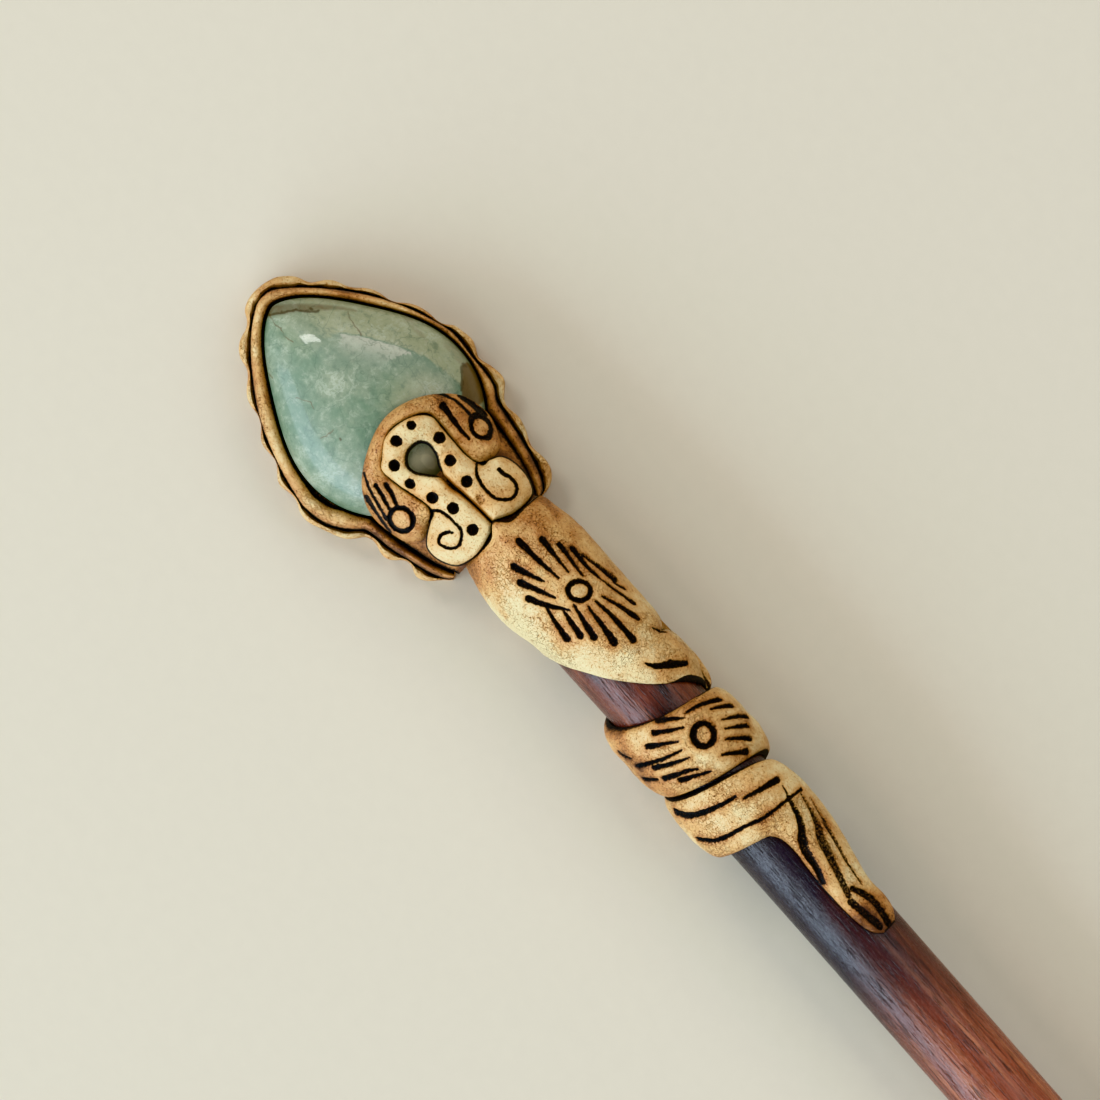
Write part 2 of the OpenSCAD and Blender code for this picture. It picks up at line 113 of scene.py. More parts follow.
def distance(points: Array, path: Array, half: float | Array = 0.0) -> Array:
    """Distance of points from a line, less the half-width of the line there.

    Args:
        points: Points in a plane.
        path: Points of the line in that plane.
        half: Half-width of the line, or one at each of its points.

    Returns:
        The distances, which are negative inside the line's width.
    """
    nearest = np.full(len(points), np.inf)
    halves = np.broadcast_to(half, len(path))
    for a, b, half_a, half_b in zip(path[:-1], path[1:], halves[:-1], halves[1:]):
        way = b - a
        along = np.clip((points - a) @ way / max(way @ way, 1e-9), 0, 1)
        off = np.linalg.norm(points - a - along[:, None] * way, axis=1)
        nearest = np.minimum(nearest, off - half_a - (half_b - half_a) * along)
    return nearest


def lumps(points: Array, size: float, shift: float = 0.0) -> Array:
    """Smooth unevenness from -1 to 1 at points in space, with size between two lumps."""
    return np.array([noise.noise(p) for p in (points / size + shift).tolist()])


@dataclass(frozen=True)
class Mark:
    """A groove, ring or dot that is pressed into the clay and rubbed with dark stain.

    Its points lie in the stick's frame, as they are seen from above. Its half-width runs from wide at the
    first point to thin at the last.
    """

    points: tuple[tuple[float, float], ...]
    wide: float = 0.28
    thin: float = 0.09
    depth: float = 0.45
    stain: float = 1.0

    @classmethod
    def ring(
        cls, x: float, y: float, across: float, up: float = 0.0, half: float = 0.25, turn: float = 0.0
    ) -> "Mark":
        """A ring-shaped groove, round or oval.

        Args:
            x: Place of its middle along the stick.
            y: Place of its middle across the stick.
            across: Its radius along the stick, before it is turned.
            up: Its radius across the stick, where it is an oval.
            half: Half-width of the groove.
            turn: Degrees by which the oval is turned.

        Returns:
            The mark.
        """
        up = up or across
        spots = np.radians(np.arange(0, 361, 15))
        lean = math.radians(turn)
        along, side = across * np.cos(spots), up * np.sin(spots)
        xs = x + along * math.cos(lean) - side * math.sin(lean)
        ys = y + along * math.sin(lean) + side * math.cos(lean)
        return cls(tuple(zip(xs, ys)), half, half, depth=0.55)

    @classmethod
    def dot(
        cls, x: float, y: float, radius: float = 0.54, depth: float = 0.75, stain: float = 1.0
    ) -> "Mark":
        """A round dot, which is a very short groove."""
        tiny = 0.03
        return cls(((x - tiny, y), (x + tiny, y)), radius, radius, depth, stain)

    def line(self) -> tuple[Array, Array]:
        """The points of the groove's middle line, and its half-width at each of them."""
        path = through(self.points, 4)
        return path, np.linspace(self.wide, self.thin, len(path))


def press(
    plan: Array, marks: Sequence[Mark], laid: Callable[[Array], Array] | None = None
) -> tuple[Array, Array, Array]:
    """Presses marks into a surface.

    Args:
        plan: The surface's points, laid flat.
        marks: What is pressed in.
        laid: Lays a mark's points flat in the same way.

    Returns:
        Depth, dark stain and brown halo at each point.
    """
    shoulder, slope = 0.08, 0.34
    stain_end, stain_run = 0.16, 0.24
    close, far, reach = 0.3, 0.9, 1.6
    depth, stain, halo = (np.zeros(len(plan)) for _ in range(3))
    space = np.column_stack([plan, np.zeros(len(plan))])
    ragged = 0.06 * lumps(space, 0.3) + 0.06 * lumps(space, 0.9, 4.0)
    for mark in marks:
        path, half = mark.line()
        path = laid(path) if laid else path
        near = np.all((plan > path.min(0) - reach) & (plan < path.max(0) + reach), axis=1)
        off = distance(plan[near], path, half) + ragged[near]
        depth[near] = np.maximum(depth[near], mark.depth * eased((shoulder - off) / slope))
        stain[near] = np.maximum(stain[near], mark.stain * eased((stain_end - off) / stain_run))
        away = np.maximum(off, 0)
        fade = 0.7 * np.exp(-away / close) + 0.3 * np.exp(-away / far)
        halo[near] = np.maximum(halo[near], mark.stain * fade)
    return depth, stain, halo


class Wire:
    """A socket of a material's nodes. Arithmetic on it adds Math nodes."""

    def __init__(self, graph: "Graph", socket: bpy.types.NodeSocket) -> None:
        """Holds a socket and the graph that it is in."""
        self.graph = graph
        self.socket = socket

    def math(self, operation: str, *values: Any, first: Any = None) -> "Wire":
        """Adds a Math node, whose first operand is this socket or else first."""
        operands = [self if first is None else first, *values]
        return self.graph.node("ShaderNodeMath", {"operation": operation}, dict(enumerate(operands)))

    def __add__(self, other: Any) -> "Wire":
        """Sum."""
        return self.math("ADD", other)

    __radd__ = __add__

    def __sub__(self, other: Any) -> "Wire":
        """Difference."""
        return self.math("SUBTRACT", other)

    def __rsub__(self, other: Any) -> "Wire":
        """Difference from a number."""
        return self.math("SUBTRACT", self, first=other)

    def __mul__(self, other: Any) -> "Wire":
        """Product."""
        return self.math("MULTIPLY", other)

    __rmul__ = __mul__

    def clipped(self) -> "Wire":
        """The value kept from 0 to 1."""
        return self.graph.node("ShaderNodeClamp", {}, {0: self})

    def step(self, low: float, high: float) -> "Wire":
        """A soft step.

        Args:
            low: Value at which the step starts. It may be the higher one.
            high: Value at which it ends.

        Returns:
            0 before the step and 1 after it.
        """
        flip = low > high
        made = self.graph.node(
            "ShaderNodeMapRange",
            {"interpolation_type": "SMOOTHSTEP"},
            {"Value": self, "From Min": min(low, high), "From Max": max(low, high)},
        )
        return 1 - made if flip else made


class Graph:
    """The nodes of one material."""

    def __init__(self, name: str) -> None:
        """Starts an empty material.

        Args:
            name: The material's name.
        """
        self.material = bpy.data.materials.new(name)
        self.material.use_nodes = True
        self.nodes = self.material.node_tree.nodes
        self.links = self.material.node_tree.links
        self.nodes.clear()

    def node(self, kind: str, settings: dict[str, Any], sockets: dict[Any, Any], out: Any = 0) -> Wire:
        """Adds a node.

        Args:
            kind: The node's type.
            settings: Its settings, which are set first. "stops" are a ramp's positions and colours.
            sockets: Values or links of its input sockets, by name or number.
            out: Name or number of the output that is wanted.

        Returns:
            That output.
        """
        made = self.nodes.new(kind)
        for name, value in settings.items():
            if name == "stops":
                ramp = made.color_ramp.elements
                for place, colour in value[2:]:
                    ramp.new(place)
                for element, (place, colour) in zip(ramp, value):
                    element.position = place
                    element.color = (*colour, 1)
            else:
                setattr(made, name, value)
        for name, value in sockets.items():
            target = made.inputs[name]
            if isinstance(value, Wire):
                self.links.new(value.socket, target)
            elif target.type == "RGBA" and len(value) == 3:
                target.default_value = (*value, 1)
            else:
                target.default_value = value
        return Wire(self, made.outputs[out])

    def vector(self, operation: str, first: Any, second: Any, out: Any = 0) -> Wire:
        """Adds a Vector Math node."""
        return self.node("ShaderNodeVectorMath", {"operation": operation}, {0: first, 1: second}, out)

    def scaled(self, vector: Any, factor: Any) -> Wire:
        """A vector times a number."""
        return self.node("ShaderNodeVectorMath", {"operation": "SCALE"}, {0: vector, "Scale": factor})

    def place(self, stretch: tuple[float, float, float] = (1, 1, 1)) -> Wire:
        """The point's place in millimetres, stretched along each axis."""
        at = self.node("ShaderNodeTexCoord", {}, {}, "Object")
        return self.vector("MULTIPLY", at, tuple(s / MM for s in stretch))

    def shifted(self, place: Wire, by: Wire, amount: float) -> Wire:
        """A place that is pushed about by a noise's colour."""
        return self.vector("ADD", place, self.scaled(by, amount))

    def cloud(
        self, place: Wire, scale: float, detail: float = 3.0, rough: float = 0.55, out: Any = 0
    ) -> Wire:
        """Noise round 0.5 with scale in patches for each millimetre."""
        sockets = {"Vector": place, "Scale": scale, "Detail": detail, "Roughness": rough}
        return self.node("ShaderNodeTexNoise", {}, sockets, out)

    def cells(self, place: Wire, scale: float, feature: str) -> Wire:
        """Distances in Voronoi cells with scale in cells for each millimetre."""
        sockets = {"Vector": place, "Scale": scale}
        return self.node("ShaderNodeTexVoronoi", {"feature": feature}, sockets, "Distance")

    def strokes(self, place: Wire, paths: Sequence[Rows], half: float) -> Wire:
        """Thin lines on a piece, drawn as they are seen from above.

        Args:
            place: The point's place in millimetres.
            paths: Points of each line in the stick's frame.
            half: Half-width of the lines.

        Returns:
            1 on the lines and 0 beside them.
        """
        above = self.vector("MULTIPLY", place, (1, 1, 0))
        reaches = []
        for path in paths:
            spots = [placed(np.array([x, y, 0.0])) / MM for x, y in path]
            for start, end in zip(spots[:-1], spots[1:]):
                way = end - start
                off = self.vector("SUBTRACT", above, start)
                along = self.vector("DOT_PRODUCT", off, way, "Value") * float(1 / (way @ way))
                foot = self.scaled(way, along.clipped())
                reaches.append(self.vector("DISTANCE", off, foot, "Value"))
        nearest = reaches[0]
        for reach in reaches[1:]:
            nearest = nearest.math("MINIMUM", reach)
        return nearest.step(2 * half, 0.4 * half)

    def held(self, name: str) -> Wire:
        """A value that the mesh holds at each point."""
        return self.node("ShaderNodeAttribute", {"attribute_name": name}, {}, "Fac")

    def mix(self, factor: Wire, first: Any, second: Any) -> Wire:
        """Mixes two colours, which a Mix node takes at its sockets 6 and 7 and gives at its output 2."""
        return self.node("ShaderNodeMix", {"data_type": "RGBA"}, {0: factor, 6: first, 7: second}, 2)

    def ramp(self, factor: Wire, stops: Sequence[tuple[float, Colour]]) -> Wire:
        """A colour for each value, from stops of positions and colours."""
        return self.node("ShaderNodeValToRGB", {"stops": stops}, {0: factor})

    def finish(self, sockets: dict[str, Any], height: Wire, relief: float) -> bpy.types.Material:
        """Adds the surface shader with its bump.

        Args:
            sockets: The shader's values and links.
            height: The bump's height.
            relief: How high the bump is, in millimetres.

        Returns:
            The material.
        """
        bump = self.node("ShaderNodeBump", {}, {"Height": height, "Distance": relief * MM})
        surface = self.node("ShaderNodeBsdfPrincipled", {}, {**sockets, "Normal": bump})
        output = self.nodes.new("ShaderNodeOutputMaterial")
        self.links.new(surface.socket, output.inputs["Surface"])
        return self.material


def shade(tint: Tint) -> Colour:
    """A linear colour from its usual values.

    Args:
        tint: Red, green and blue from 0 to 255.

    Returns:
        Linear red, green and blue from 0 to 1.
    """
    parts = [value / 255 for value in tint]
    linear = [p / 12.92 if p <= 0.04045 else ((p + 0.055) / 1.055) ** 2.4 for p in parts]
    return linear[0], linear[1], linear[2]


@dataclass(frozen=True)
class ClayFinish:
    """Antiqued clay: cream where it is rubbed bare, brown round the marks and near black in them."""

    name: str
    tone_shift: float = 0.0
    roughness: float = 0.46
    leather: float = 1.0
    cream: Tint = (240, 220, 168)
    sand: Tint = (222, 178, 116)
    tan: Tint = (188, 128, 72)
    brown: Tint = (104, 62, 32)
    stain: Tint = (14, 8, 5)
    rubbed: Tint = (74, 44, 24)

    def build(self) -> bpy.types.Material:
        """Makes the material.

        Returns:
            The material, which reads the values "stain" and "tone" of the mesh.
        """
        graph = Graph(self.name)
        place = graph.place()
        # Patches some millimetres wide, fine grain, creases and crackle where it is worn, pits and flecks.
        mottle = graph.cloud(place, 0.4, 5.0, 0.58)
        grain = graph.cloud(place, 4.4, 3.0, 0.7)
        wander = graph.shifted(place, graph.cloud(place, 1.3, out="Color"), 0.7)
        creases = (graph.cloud(wander, 1.5, 2.0) - 0.5).math("ABSOLUTE").step(0.04, 0.0)
        crackle = graph.cells(wander, 2.6, "DISTANCE_TO_EDGE").step(0.06, 0.0)
        worn = graph.cloud(place, 0.24, 2.0).step(0.47, 0.62)
        pits = graph.cells(place, 1.9, "F1").step(0.2, 0.08) * graph.cloud(place, 0.8, 2.0).step(0.46, 0.6)
        flecks = graph.cloud(place, 5.0, 1.0, 0.5).step(0.6, 0.7)
        lines = (creases * 0.8 + crackle * 0.6) * (worn * 0.6 + 0.35) * self.leather
        # The browner the mesh and the patterns make the clay, the further it goes from cream to brown.
        tone = graph.held("tone") + (mottle - 0.5) * 1.2 + (grain - 0.5) * 0.35 + self.tone_shift
        colours = (self.cream, self.sand, self.tan, self.brown)
        stops = list(zip((0.0, 0.35, 0.7, 1.0), (shade(c) for c in colours)))
        base = graph.ramp((tone + lines * 0.26 + flecks * 0.28 + pits * 0.35).clipped(), stops)
        # The stain has ragged edges, and a little brown shows through it.
        dark = (graph.held("stain") + (grain - 0.5) + pits * 0.2).step(0.36, 0.74)
        colour = graph.mix(dark, base, graph.mix(flecks * 0.6, shade(self.stain), shade(self.rubbed)))
        rough = (self.roughness + (grain - 0.5) * 0.3 + dark * 0.3).clipped()
        height = grain * 0.35 + mottle * 1.2 - pits * 0.9 - lines - flecks * 0.4
        sockets = {"Base Color": colour, "Roughness": rough, "IOR": 1.5}
        return graph.finish(sockets, height, 0.12)


@dataclass(frozen=True)
class WoodFinish:
    """Oiled dark wood, purple-brown near the clay and redder towards the tip."""

    name: str = "oiled_wood"
    near: Tint = (29, 18, 33)
    far: Tint = (160, 86, 62)
    light: Tint = (204, 132, 92)
    pore: Tint = (24, 13, 15)

    def build(self) -> bpy.types.Material:
        """Makes the material.

        Returns:
            The material, which reads the values "stain" and "tone" of the mesh.
        """
        graph = Graph(self.name)
        tone = graph.held("tone").clipped()
        # Noise that is drawn out along the stick gives its streaks, fibres, pores and scuffs.
        streaks = graph.cloud(graph.place((0.04, 1.0, 1.0)), 1.1, 4.0, 0.6)
        fibres = graph.cloud(graph.place((0.06, 1.0, 1.0)), 5.4, 3.0, 0.65)
        pores = graph.cloud(graph.place((0.07, 1.0, 1.0)), 6.0, 2.0, 0.5).step(0.58, 0.68)
        base = graph.mix(tone, shade(self.near), shade(self.far))
        base = graph.mix(streaks.step(0.45, 0.72) * tone * 0.8, base, shade(self.light))
        base = graph.mix((1 - fibres).step(0.42, 0.66) * 0.45, base, shade(self.pore))
        dark = (graph.held("stain") + pores * 0.6).clipped()
        colour = graph.mix(dark, base, shade(self.pore))
        scuffs = graph.cloud(graph.place((0.35, 1.0, 1.0)), 5.0, 3.0, 0.7)
        rough = (0.25 + (scuffs - 0.5) * 0.8 + pores * 0.2).clipped()
        height = fibres * 0.5 + scuffs * 0.6 + streaks * 0.4 - pores * 0.7
        sockets = {"Base Color": colour, "Roughness": rough, "IOR": 1.6}
        return graph.finish(sockets, height, 0.08)


@dataclass(frozen=True)
class StoneFinish:
    """Polished stone, sea green with pale clouds, fine veins and olive-brown patches."""

    name: str = "sea_green_stone"
    green: Tint = (110, 134, 110)
    pale: Tint = (148, 158, 134)
    wisp: Tint = (196, 204, 184)
    # The pale haze of a painted reflection.
    reflection_haze: Tint = (182, 184, 166)
    # Grey patches, and the painted olive-grey shade beyond the painted reflection's edge.
    grey: Tint = (160, 164, 132)
    deep: Tint = (74, 100, 80)
    brown: Tint = (98, 74, 38)
    dark: Tint = (70, 56, 26)
    # Painted light and a painted highlight on the stone in the shaded keyhole.
    clear: Tint = (250, 242, 204)
    # Fine cracks in the stone, each as points of the stick's frame.
    CRACKS = (
        ((-30.2, -3.0), (-29.1, -3.2), (-28.4, -3.0), (-27.7, -3.3), (-26.5, -3.0)),
        ((-25.3, 2.9), (-24.5, 2.6), (-23.8, 2.6), (-22.6, 2.4)),
        ((-17.4, -5.7), (-17.5, -6.5), (-17.6, -7.2)),
        ((-22.3, -6.4), (-20.9, -5.6), (-20.4, -5.7)),
        ((-27.3, -6.3), (-26.2, -6.9), (-25.4, -6.8)),
    )
    # Dark lines along two brown patches, and four specks.
    BORDERS = (
        ((-30.3, -3.1), (-29.3, -1.6), (-28.8, -0.7), (-28.1, -0.2), (-27.2, 0.8)),
        ((-14.0, 8.0), (-13.7, 7.5), (-13.1, 7.1), (-12.2, 6.3)),
        ((-29.65, -1.95), (-29.55, -1.9)),
        ((-27.85, 0.45), (-27.75, 0.5)),
        ((-14.1, 8.1), (-13.8, 8.1)),
        ((-16.35, -5.8), (-16.25, -5.8)),
    )

    def build(self) -> bpy.types.Material:
        """Makes the material.

        Returns:
            The material. It reads "tone" as how grey the stone is, and beyond the edge of a painted
            reflection as painted olive-grey shade, or under 0 as that reflection's painted pale haze. It
            reads "stain" as how brown it is, or under 0 as how much painted light brightens the stone in
            the shaded keyhole.
        """
        graph = Graph(self.name)
        place = graph.place()
        grey, stain = graph.held("tone"), graph.held("stain")
        # Wide clouds, small flecks, pale wisps and two sizes of veins.
        drift = graph.shifted(place, graph.cloud(place, 0.25, out="Color"), 2.5)
        clouds = graph.cloud(drift, 0.16, 5.0, 0.6)
        flecks = graph.cloud(place, 1.1, 6.0, 0.72)
        curl = graph.shifted(place, graph.cloud(place, 0.5, 3.0, out="Color"), 3.0)
        wisps = (graph.cloud(curl, 0.45, 5.0, 0.65) - 0.5).math("ABSOLUTE").step(0.05, 0.0)
        wisps = wisps * clouds.step(0.4, 0.6)
        veins = graph.cells(curl, 0.3, "DISTANCE_TO_EDGE").step(0.025, 0.0) * clouds.step(0.6, 0.45)
        hairs = graph.cells(curl, 0.9, "DISTANCE_TO_EDGE").step(0.04, 0.0) * flecks.step(0.45, 0.6)
        base = graph.mix(clouds.step(0.36, 0.66), shade(self.green), shade(self.pale))
        # A painted reflection: a pale haze where "tone" is under 0, and beyond its edge the grey tint below
        # as painted olive-grey shade.
        base = graph.mix((grey + (clouds - 0.5) * 0.4).step(-0.05, -0.8), base, shade(self.reflection_haze))
        base = graph.mix((grey + (flecks - 0.5) * 0.5).clipped(), base, shade(self.grey))
        base = graph.mix(flecks.step(0.5, 0.3) * 0.45, base, shade(self.deep))
        base = graph.mix(flecks.step(0.5, 0.72) * 0.3 + wisps * 0.4, base, shade(self.wisp))
        base = graph.mix(veins * 0.4 + hairs * 0.22, base, shade(self.deep))
        # Brown patches, wavering cracks and borders, and the painted light that brightens the stone in the
        # shaded keyhole, with a painted highlight spot.
        brown = (stain + (flecks - 0.5) * 0.9).step(0.1, 1.0)
        base = graph.mix(brown * 0.9, base, shade(self.brown))
        wavy = graph.shifted(place, graph.cloud(place, 1.2, 2.0, out="Color"), 0.5)
        cracks = graph.strokes(wavy, self.CRACKS, 0.05) * flecks.step(0.3, 0.5)
        base = graph.mix(cracks * 0.6, base, shade(self.brown))
        base = graph.mix(graph.strokes(wavy, self.BORDERS, 0.11) * 0.75, base, shade(self.dark))
        colour = graph.mix(stain.step(-0.1, -0.8), base, shade(self.clear))
        sockets = {
            "Base Color": colour,
            "Roughness": 0.36,
            "IOR": 1.5,
            "Coat Weight": 0.25,
            "Coat Roughness": 0.03,
            "Subsurface Weight": 0.25,
            "Subsurface Radius": (1.0, 1.0, 0.9),
            "Subsurface Scale": 1.2 * MM,
        }
        return graph.finish(sockets, veins * -0.5 - hairs * 0.4, 0.004)


@dataclass(frozen=True)
class FloorFinish:
    """A plain pale floor."""

    name: str = "plain_floor"
    colour: Tint = (214, 207, 189)

    def build(self) -> bpy.types.Material:
        """Makes the material.

        Returns:
            The material.
        """
        graph = Graph(self.name)
        cloud = graph.cloud(graph.place(), 0.6, 3.0)
        pale = shade(self.colour)
        colour = graph.mix(cloud, pale, tuple(0.96 * part for part in pale))
        return graph.finish({"Base Color": colour, "Roughness": 0.8}, cloud, 0.01)


class Slot(Enum):
    """Material slots that each piece is labelled with."""

    WOOD = "wood"
    CLAY = "clay"
    PALE = "clay_pale"
    BROWN = "clay_brown"
    STONE = "stone"


def placed(points: Array) -> Array:
    """Moves points into the shared frame.

    Args:
        points: Points in the stick's frame, in millimetres.

    Returns:
        The points in the shared frame, in metres.
    """
    low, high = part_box("stick")
    origin = np.array([low.x / MM + TENON, (low.y + high.y) / 2 / MM, 0.0])
    return (points + origin) * MM


def loop_faces(rows: int, cols: int, first: int = 0) -> list[list[int]]:
    """The quads between neighbouring loops.

    Args:
        rows: Number of loops.
        cols: Points in each loop.
        first: Number of the first point.

    Returns:
        The quads.
    """
    row = np.arange(rows - 1)[:, None] * cols + first
    col = np.arange(cols)[None, :]
    after = (col + 1) % cols
    corners = [row + col, row + after, row + cols + after, row + cols + col]
    return np.stack(corners, axis=-1).reshape(-1, 4).tolist()


@dataclass
class Piece:
    """One closed mesh that stands for a node of the frame."""

    name: str
    node: str
    slot: Slot
    points: Array
    faces: list[list[int]]
    stain: Array
    tone: Array

    @classmethod
    def lofted(cls, name: str, node: str, slot: Slot, loops: Array, stain: Array, tone: Array) -> "Piece":
        """A body through loops of points with a fan at each end.

        Args:
            name: Name of the piece.
            node: The frame's node that it stands for.
            slot: Material slot.
            loops: Rows of loops of points.
            stain: Dark stain at each point.
            tone: How brown each point is.

        Returns:
            The piece.
        """
        rows, cols = loops.shape[:2]
        ends = loops[[0, -1]].mean(axis=1)
        faces = loop_faces(rows, cols)
        for row, centre in ((0, rows * cols), (rows - 1, rows * cols + 1)):
            faces += [[centre, row * cols + j, row * cols + (j + 1) % cols] for j in range(cols)]
        values = [np.append(v.ravel(), [v[0].mean(), v[-1].mean()]) for v in (stain, tone)]
        return cls(name, node, slot, np.vstack([loops.reshape(-1, 3), ends]), faces, *values)

    def make(self, material: bpy.types.Material, crease: float = 60.0) -> bpy.types.Object:
        """Makes the Blender object and ties it to the frame.

        Args:
            material: The finish.
            crease: Edges that turn by more than this many degrees stay sharp.

        Returns:
            The object.
        """
        mesh = bpy.data.meshes.new(self.name)
        mesh.from_pydata(placed(self.points).tolist(), [], self.faces)
        shell = bmesh.new()
        shell.from_mesh(mesh)
        bmesh.ops.recalc_face_normals(shell, faces=shell.faces)
        shell.to_mesh(mesh)
        shell.free()
        for name, values in (("stain", self.stain), ("tone", self.tone)):
            held = mesh.attributes.new(name, "FLOAT", "POINT")
            held.data.foreach_set("value", values.astype(np.float32))
        mesh.shade_smooth()
        mesh.set_sharp_from_angle(angle=math.radians(crease))
        mesh.materials.append(material)
        made = bpy.data.objects.new(self.name, mesh)
        bpy.context.scene.collection.objects.link(made)
        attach(made, "root")
        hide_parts(self.node)
        LOG.info("%s stands for %s with %d faces", self.name, self.node, len(mesh.polygons))
        return made


@dataclass(frozen=True)
class HeadPlan:
    """The head's own plane, which is turned a little against the stick, and the heights of what lies in it.

    Its origin is the stone's middle, and its x runs from the stone's point to its round end.
    """

    # The stone: its outline, its upright edge, and the dome over that.
    length: float = 25.3
    width: float = 19.7
    girdle: float = 1.0
    dome: float = 5.0
    dome_power: float = 0.6
    # How far the round end is from the place where the stone is widest, as a share of the length.
    round_share: float = 0.389
    # How wide the stone's point is, in degrees, and how suddenly it starts.
    point_angle: float = 27.0
    point_power: float = 1.5
    # Heights of the plate and of the strand on it, and the gap between pieces.
    plate: float = 3.5
    strand: float = 1.7
    gap: float = 0.14
    # Room that the strand and the bed leave round the stone.
    room: float = 0.21
    # The turn against the stick, the distance from the shoulder as a share of the length, and the offset.
    turn: float = math.radians(4.2)
    reach: float = 0.593
    offset: float = 1.4
    # The bed's height at its sides, how far its back rises over that, and the back's roundness.
    side: float = 5.2
    ridge: float = 3.8
    back_power: float = 0.75

    # Columns: along, as a share of the length; right and left edges, of the width; share of the ridge.
    BED = (
        (0.2, -0.375, 0.365, 0.78), (0.24, -0.385, 0.368, 0.85), (0.28, -0.388, 0.36, 0.92),
        (0.32, -0.385, 0.355, 0.97), (0.36, -0.38, 0.35, 1), (0.4, -0.372, 0.34, 1),
        (0.44, -0.362, 0.33, 1), (0.48, -0.352, 0.318, 1), (0.52, -0.34, 0.303, 1),
        (0.56, -0.322, 0.28, 0.98), (0.595, -0.3, 0.25, 0.92),
    )

    def sized(self, shares: Array) -> Array:
        """Turns shares of the stone's length and width, in turn, into millimetres."""
        return np.asarray(shares, float) * np.tile([self.length, self.width], np.shape(shares)[-1] // 2)

    def in_stick(self, plan: Array) -> Array:
        """Moves points into the stick's frame.

        Args:
            plan: Points in the head's plane.

        Returns:
            The points in the stick's frame.
        """
        c, s = math.cos(self.turn), math.sin(self.turn)
        x = -self.reach * self.length + plan[..., 0] * c - plan[..., 1] * s
        y = -self.offset + plan[..., 0] * s + plan[..., 1] * c
        return np.stack([x, y], axis=-1)

    def in_head(self, spots: Array) -> Array:
        """Moves points into the head's plane.

        Args:
            spots: Points in the stick's frame.

        Returns:
            The points in the head's plane.
        """
        c, s = math.cos(self.turn), math.sin(self.turn)
        x, y = spots[..., 0] + self.reach * self.length, spots[..., 1] + self.offset
        return np.stack([x * c + y * s, y * c - x * s], axis=-1)

    def raised(self, plan: Array, height: Array) -> Array:
        """Points in the stick's frame from points of the head's plane and their heights."""
        return np.concatenate([self.in_stick(plan), height[..., None]], axis=-1)

    def middle(self) -> Array:
        """The point at which the stone is widest."""
        return np.array([-0.02 * self.length, 0.003 * self.width])

    def pull(self, angle: Array) -> Array:
        """How far the outline is drawn out towards the stone's point.

        Args:
            angle: Degrees from the point.

        Returns:
            A factor, which is 1 away from the point.
        """
        turn = np.abs((np.asarray(angle) + 180) % 360 - 180)
        most = (1 - self.round_share) / self.round_share
        return 1 + (most - 1) * np.exp(-((turn / self.point_angle) ** self.point_power))

    def ring(self, angle: Array, share: float, grow: float = 0.0) -> Array:
        """A level of the stone's dome.

        Args:
            angle: Degrees from the stone's point.
            share: 1 at the outline and 0 in the middle.
            grow: Room round the stone.

        Returns:
            Points in the head's plane.
        """
        turn = np.radians(angle)
        x = -(self.round_share * self.length + grow) * np.cos(turn)
        y = (self.width / 2 + grow) * np.sin(turn)
        drawn = share * (1 + (self.pull(angle) - 1) * share * share)
        return self.middle() + (drawn * np.array([x, y])).T

    def out(self, plan: Array, grow: float = 0.0) -> Array:
        """How far out points are on the stone: 0 in its middle and 1 on its outline.

        Args:
            plan: Points in the head's plane.
            grow: Room round the stone.

        Returns:
            The shares.
        """
        off = plan - self.middle()
        x = -off[..., 0] / (self.round_share * self.length + grow)
        y = off[..., 1] / (self.width / 2 + grow)
        far = np.hypot(x, y)
        pull = self.pull(np.degrees(np.arctan2(y, x))) - 1
        share = np.minimum(far, 1)
        for _ in range(6):
            share = share - (share + pull * share**3 - far) / (1 + 3 * pull * share**2)
        return share

    def dome_height(self, share: Array) -> Array:
        """Height of the dome over the stone's upright edge."""
        return self.dome * np.maximum(1 - share**2, 0) ** self.dome_power

    def over_stone(self, plan: Array, room: float) -> Array:
        """Height of a surface that keeps room over the stone."""
        return self.plate + self.gap + self.girdle + room + self.dome_height(self.out(plan, room))

    def bed_edges(self, x: Array) -> tuple[Array, Array, Array]:
        """The clay bed's outline.

        Args:
            x: Places along the head.

        Returns:
            The bed's right edge, its left edge and the rise of its back there.
        """
        table = np.array(self.BED)
        spots = table[:, 0] * self.length
        right, left = (np.interp(x, spots, table[:, i] * self.width) for i in (1, 2))
        return right, left, np.interp(x, spots, table[:, 3] * self.ridge)

    def bed_back(self, plan: Array, inward: float = 1.0) -> Array:
        """Height of the bed's back.

        Args:
            plan: Points in the head's plane.
            inward: Under 1, the height is that of a place a little further in.

        Returns:
            The heights.
        """
        right, left, rise = self.bed_edges(plan[..., 0])
        place = inward * (2 * plan[..., 1] - right - left) / (left - right)
        return self.side + rise * np.maximum(1 - place**2, 0) ** self.back_power

    def seat(self, plan: Array) -> Array:
        """Height of what the hood and the band lie on.

        Args:
            plan: Points in the head's plane.

        Returns:
            The heights.
        """
        over = self.over_stone(plan, self.gap)
        start, full = 0.2 * self.length, 0.24 * self.length
        lip = over + 0.3 * np.clip((plan[..., 0] - start) / (full - start), 0, 1)
        back = np.maximum(self.bed_back(plan, 0.95), lip) + self.gap
        return np.where(plan[..., 0] < start, over, np.maximum(back, over))


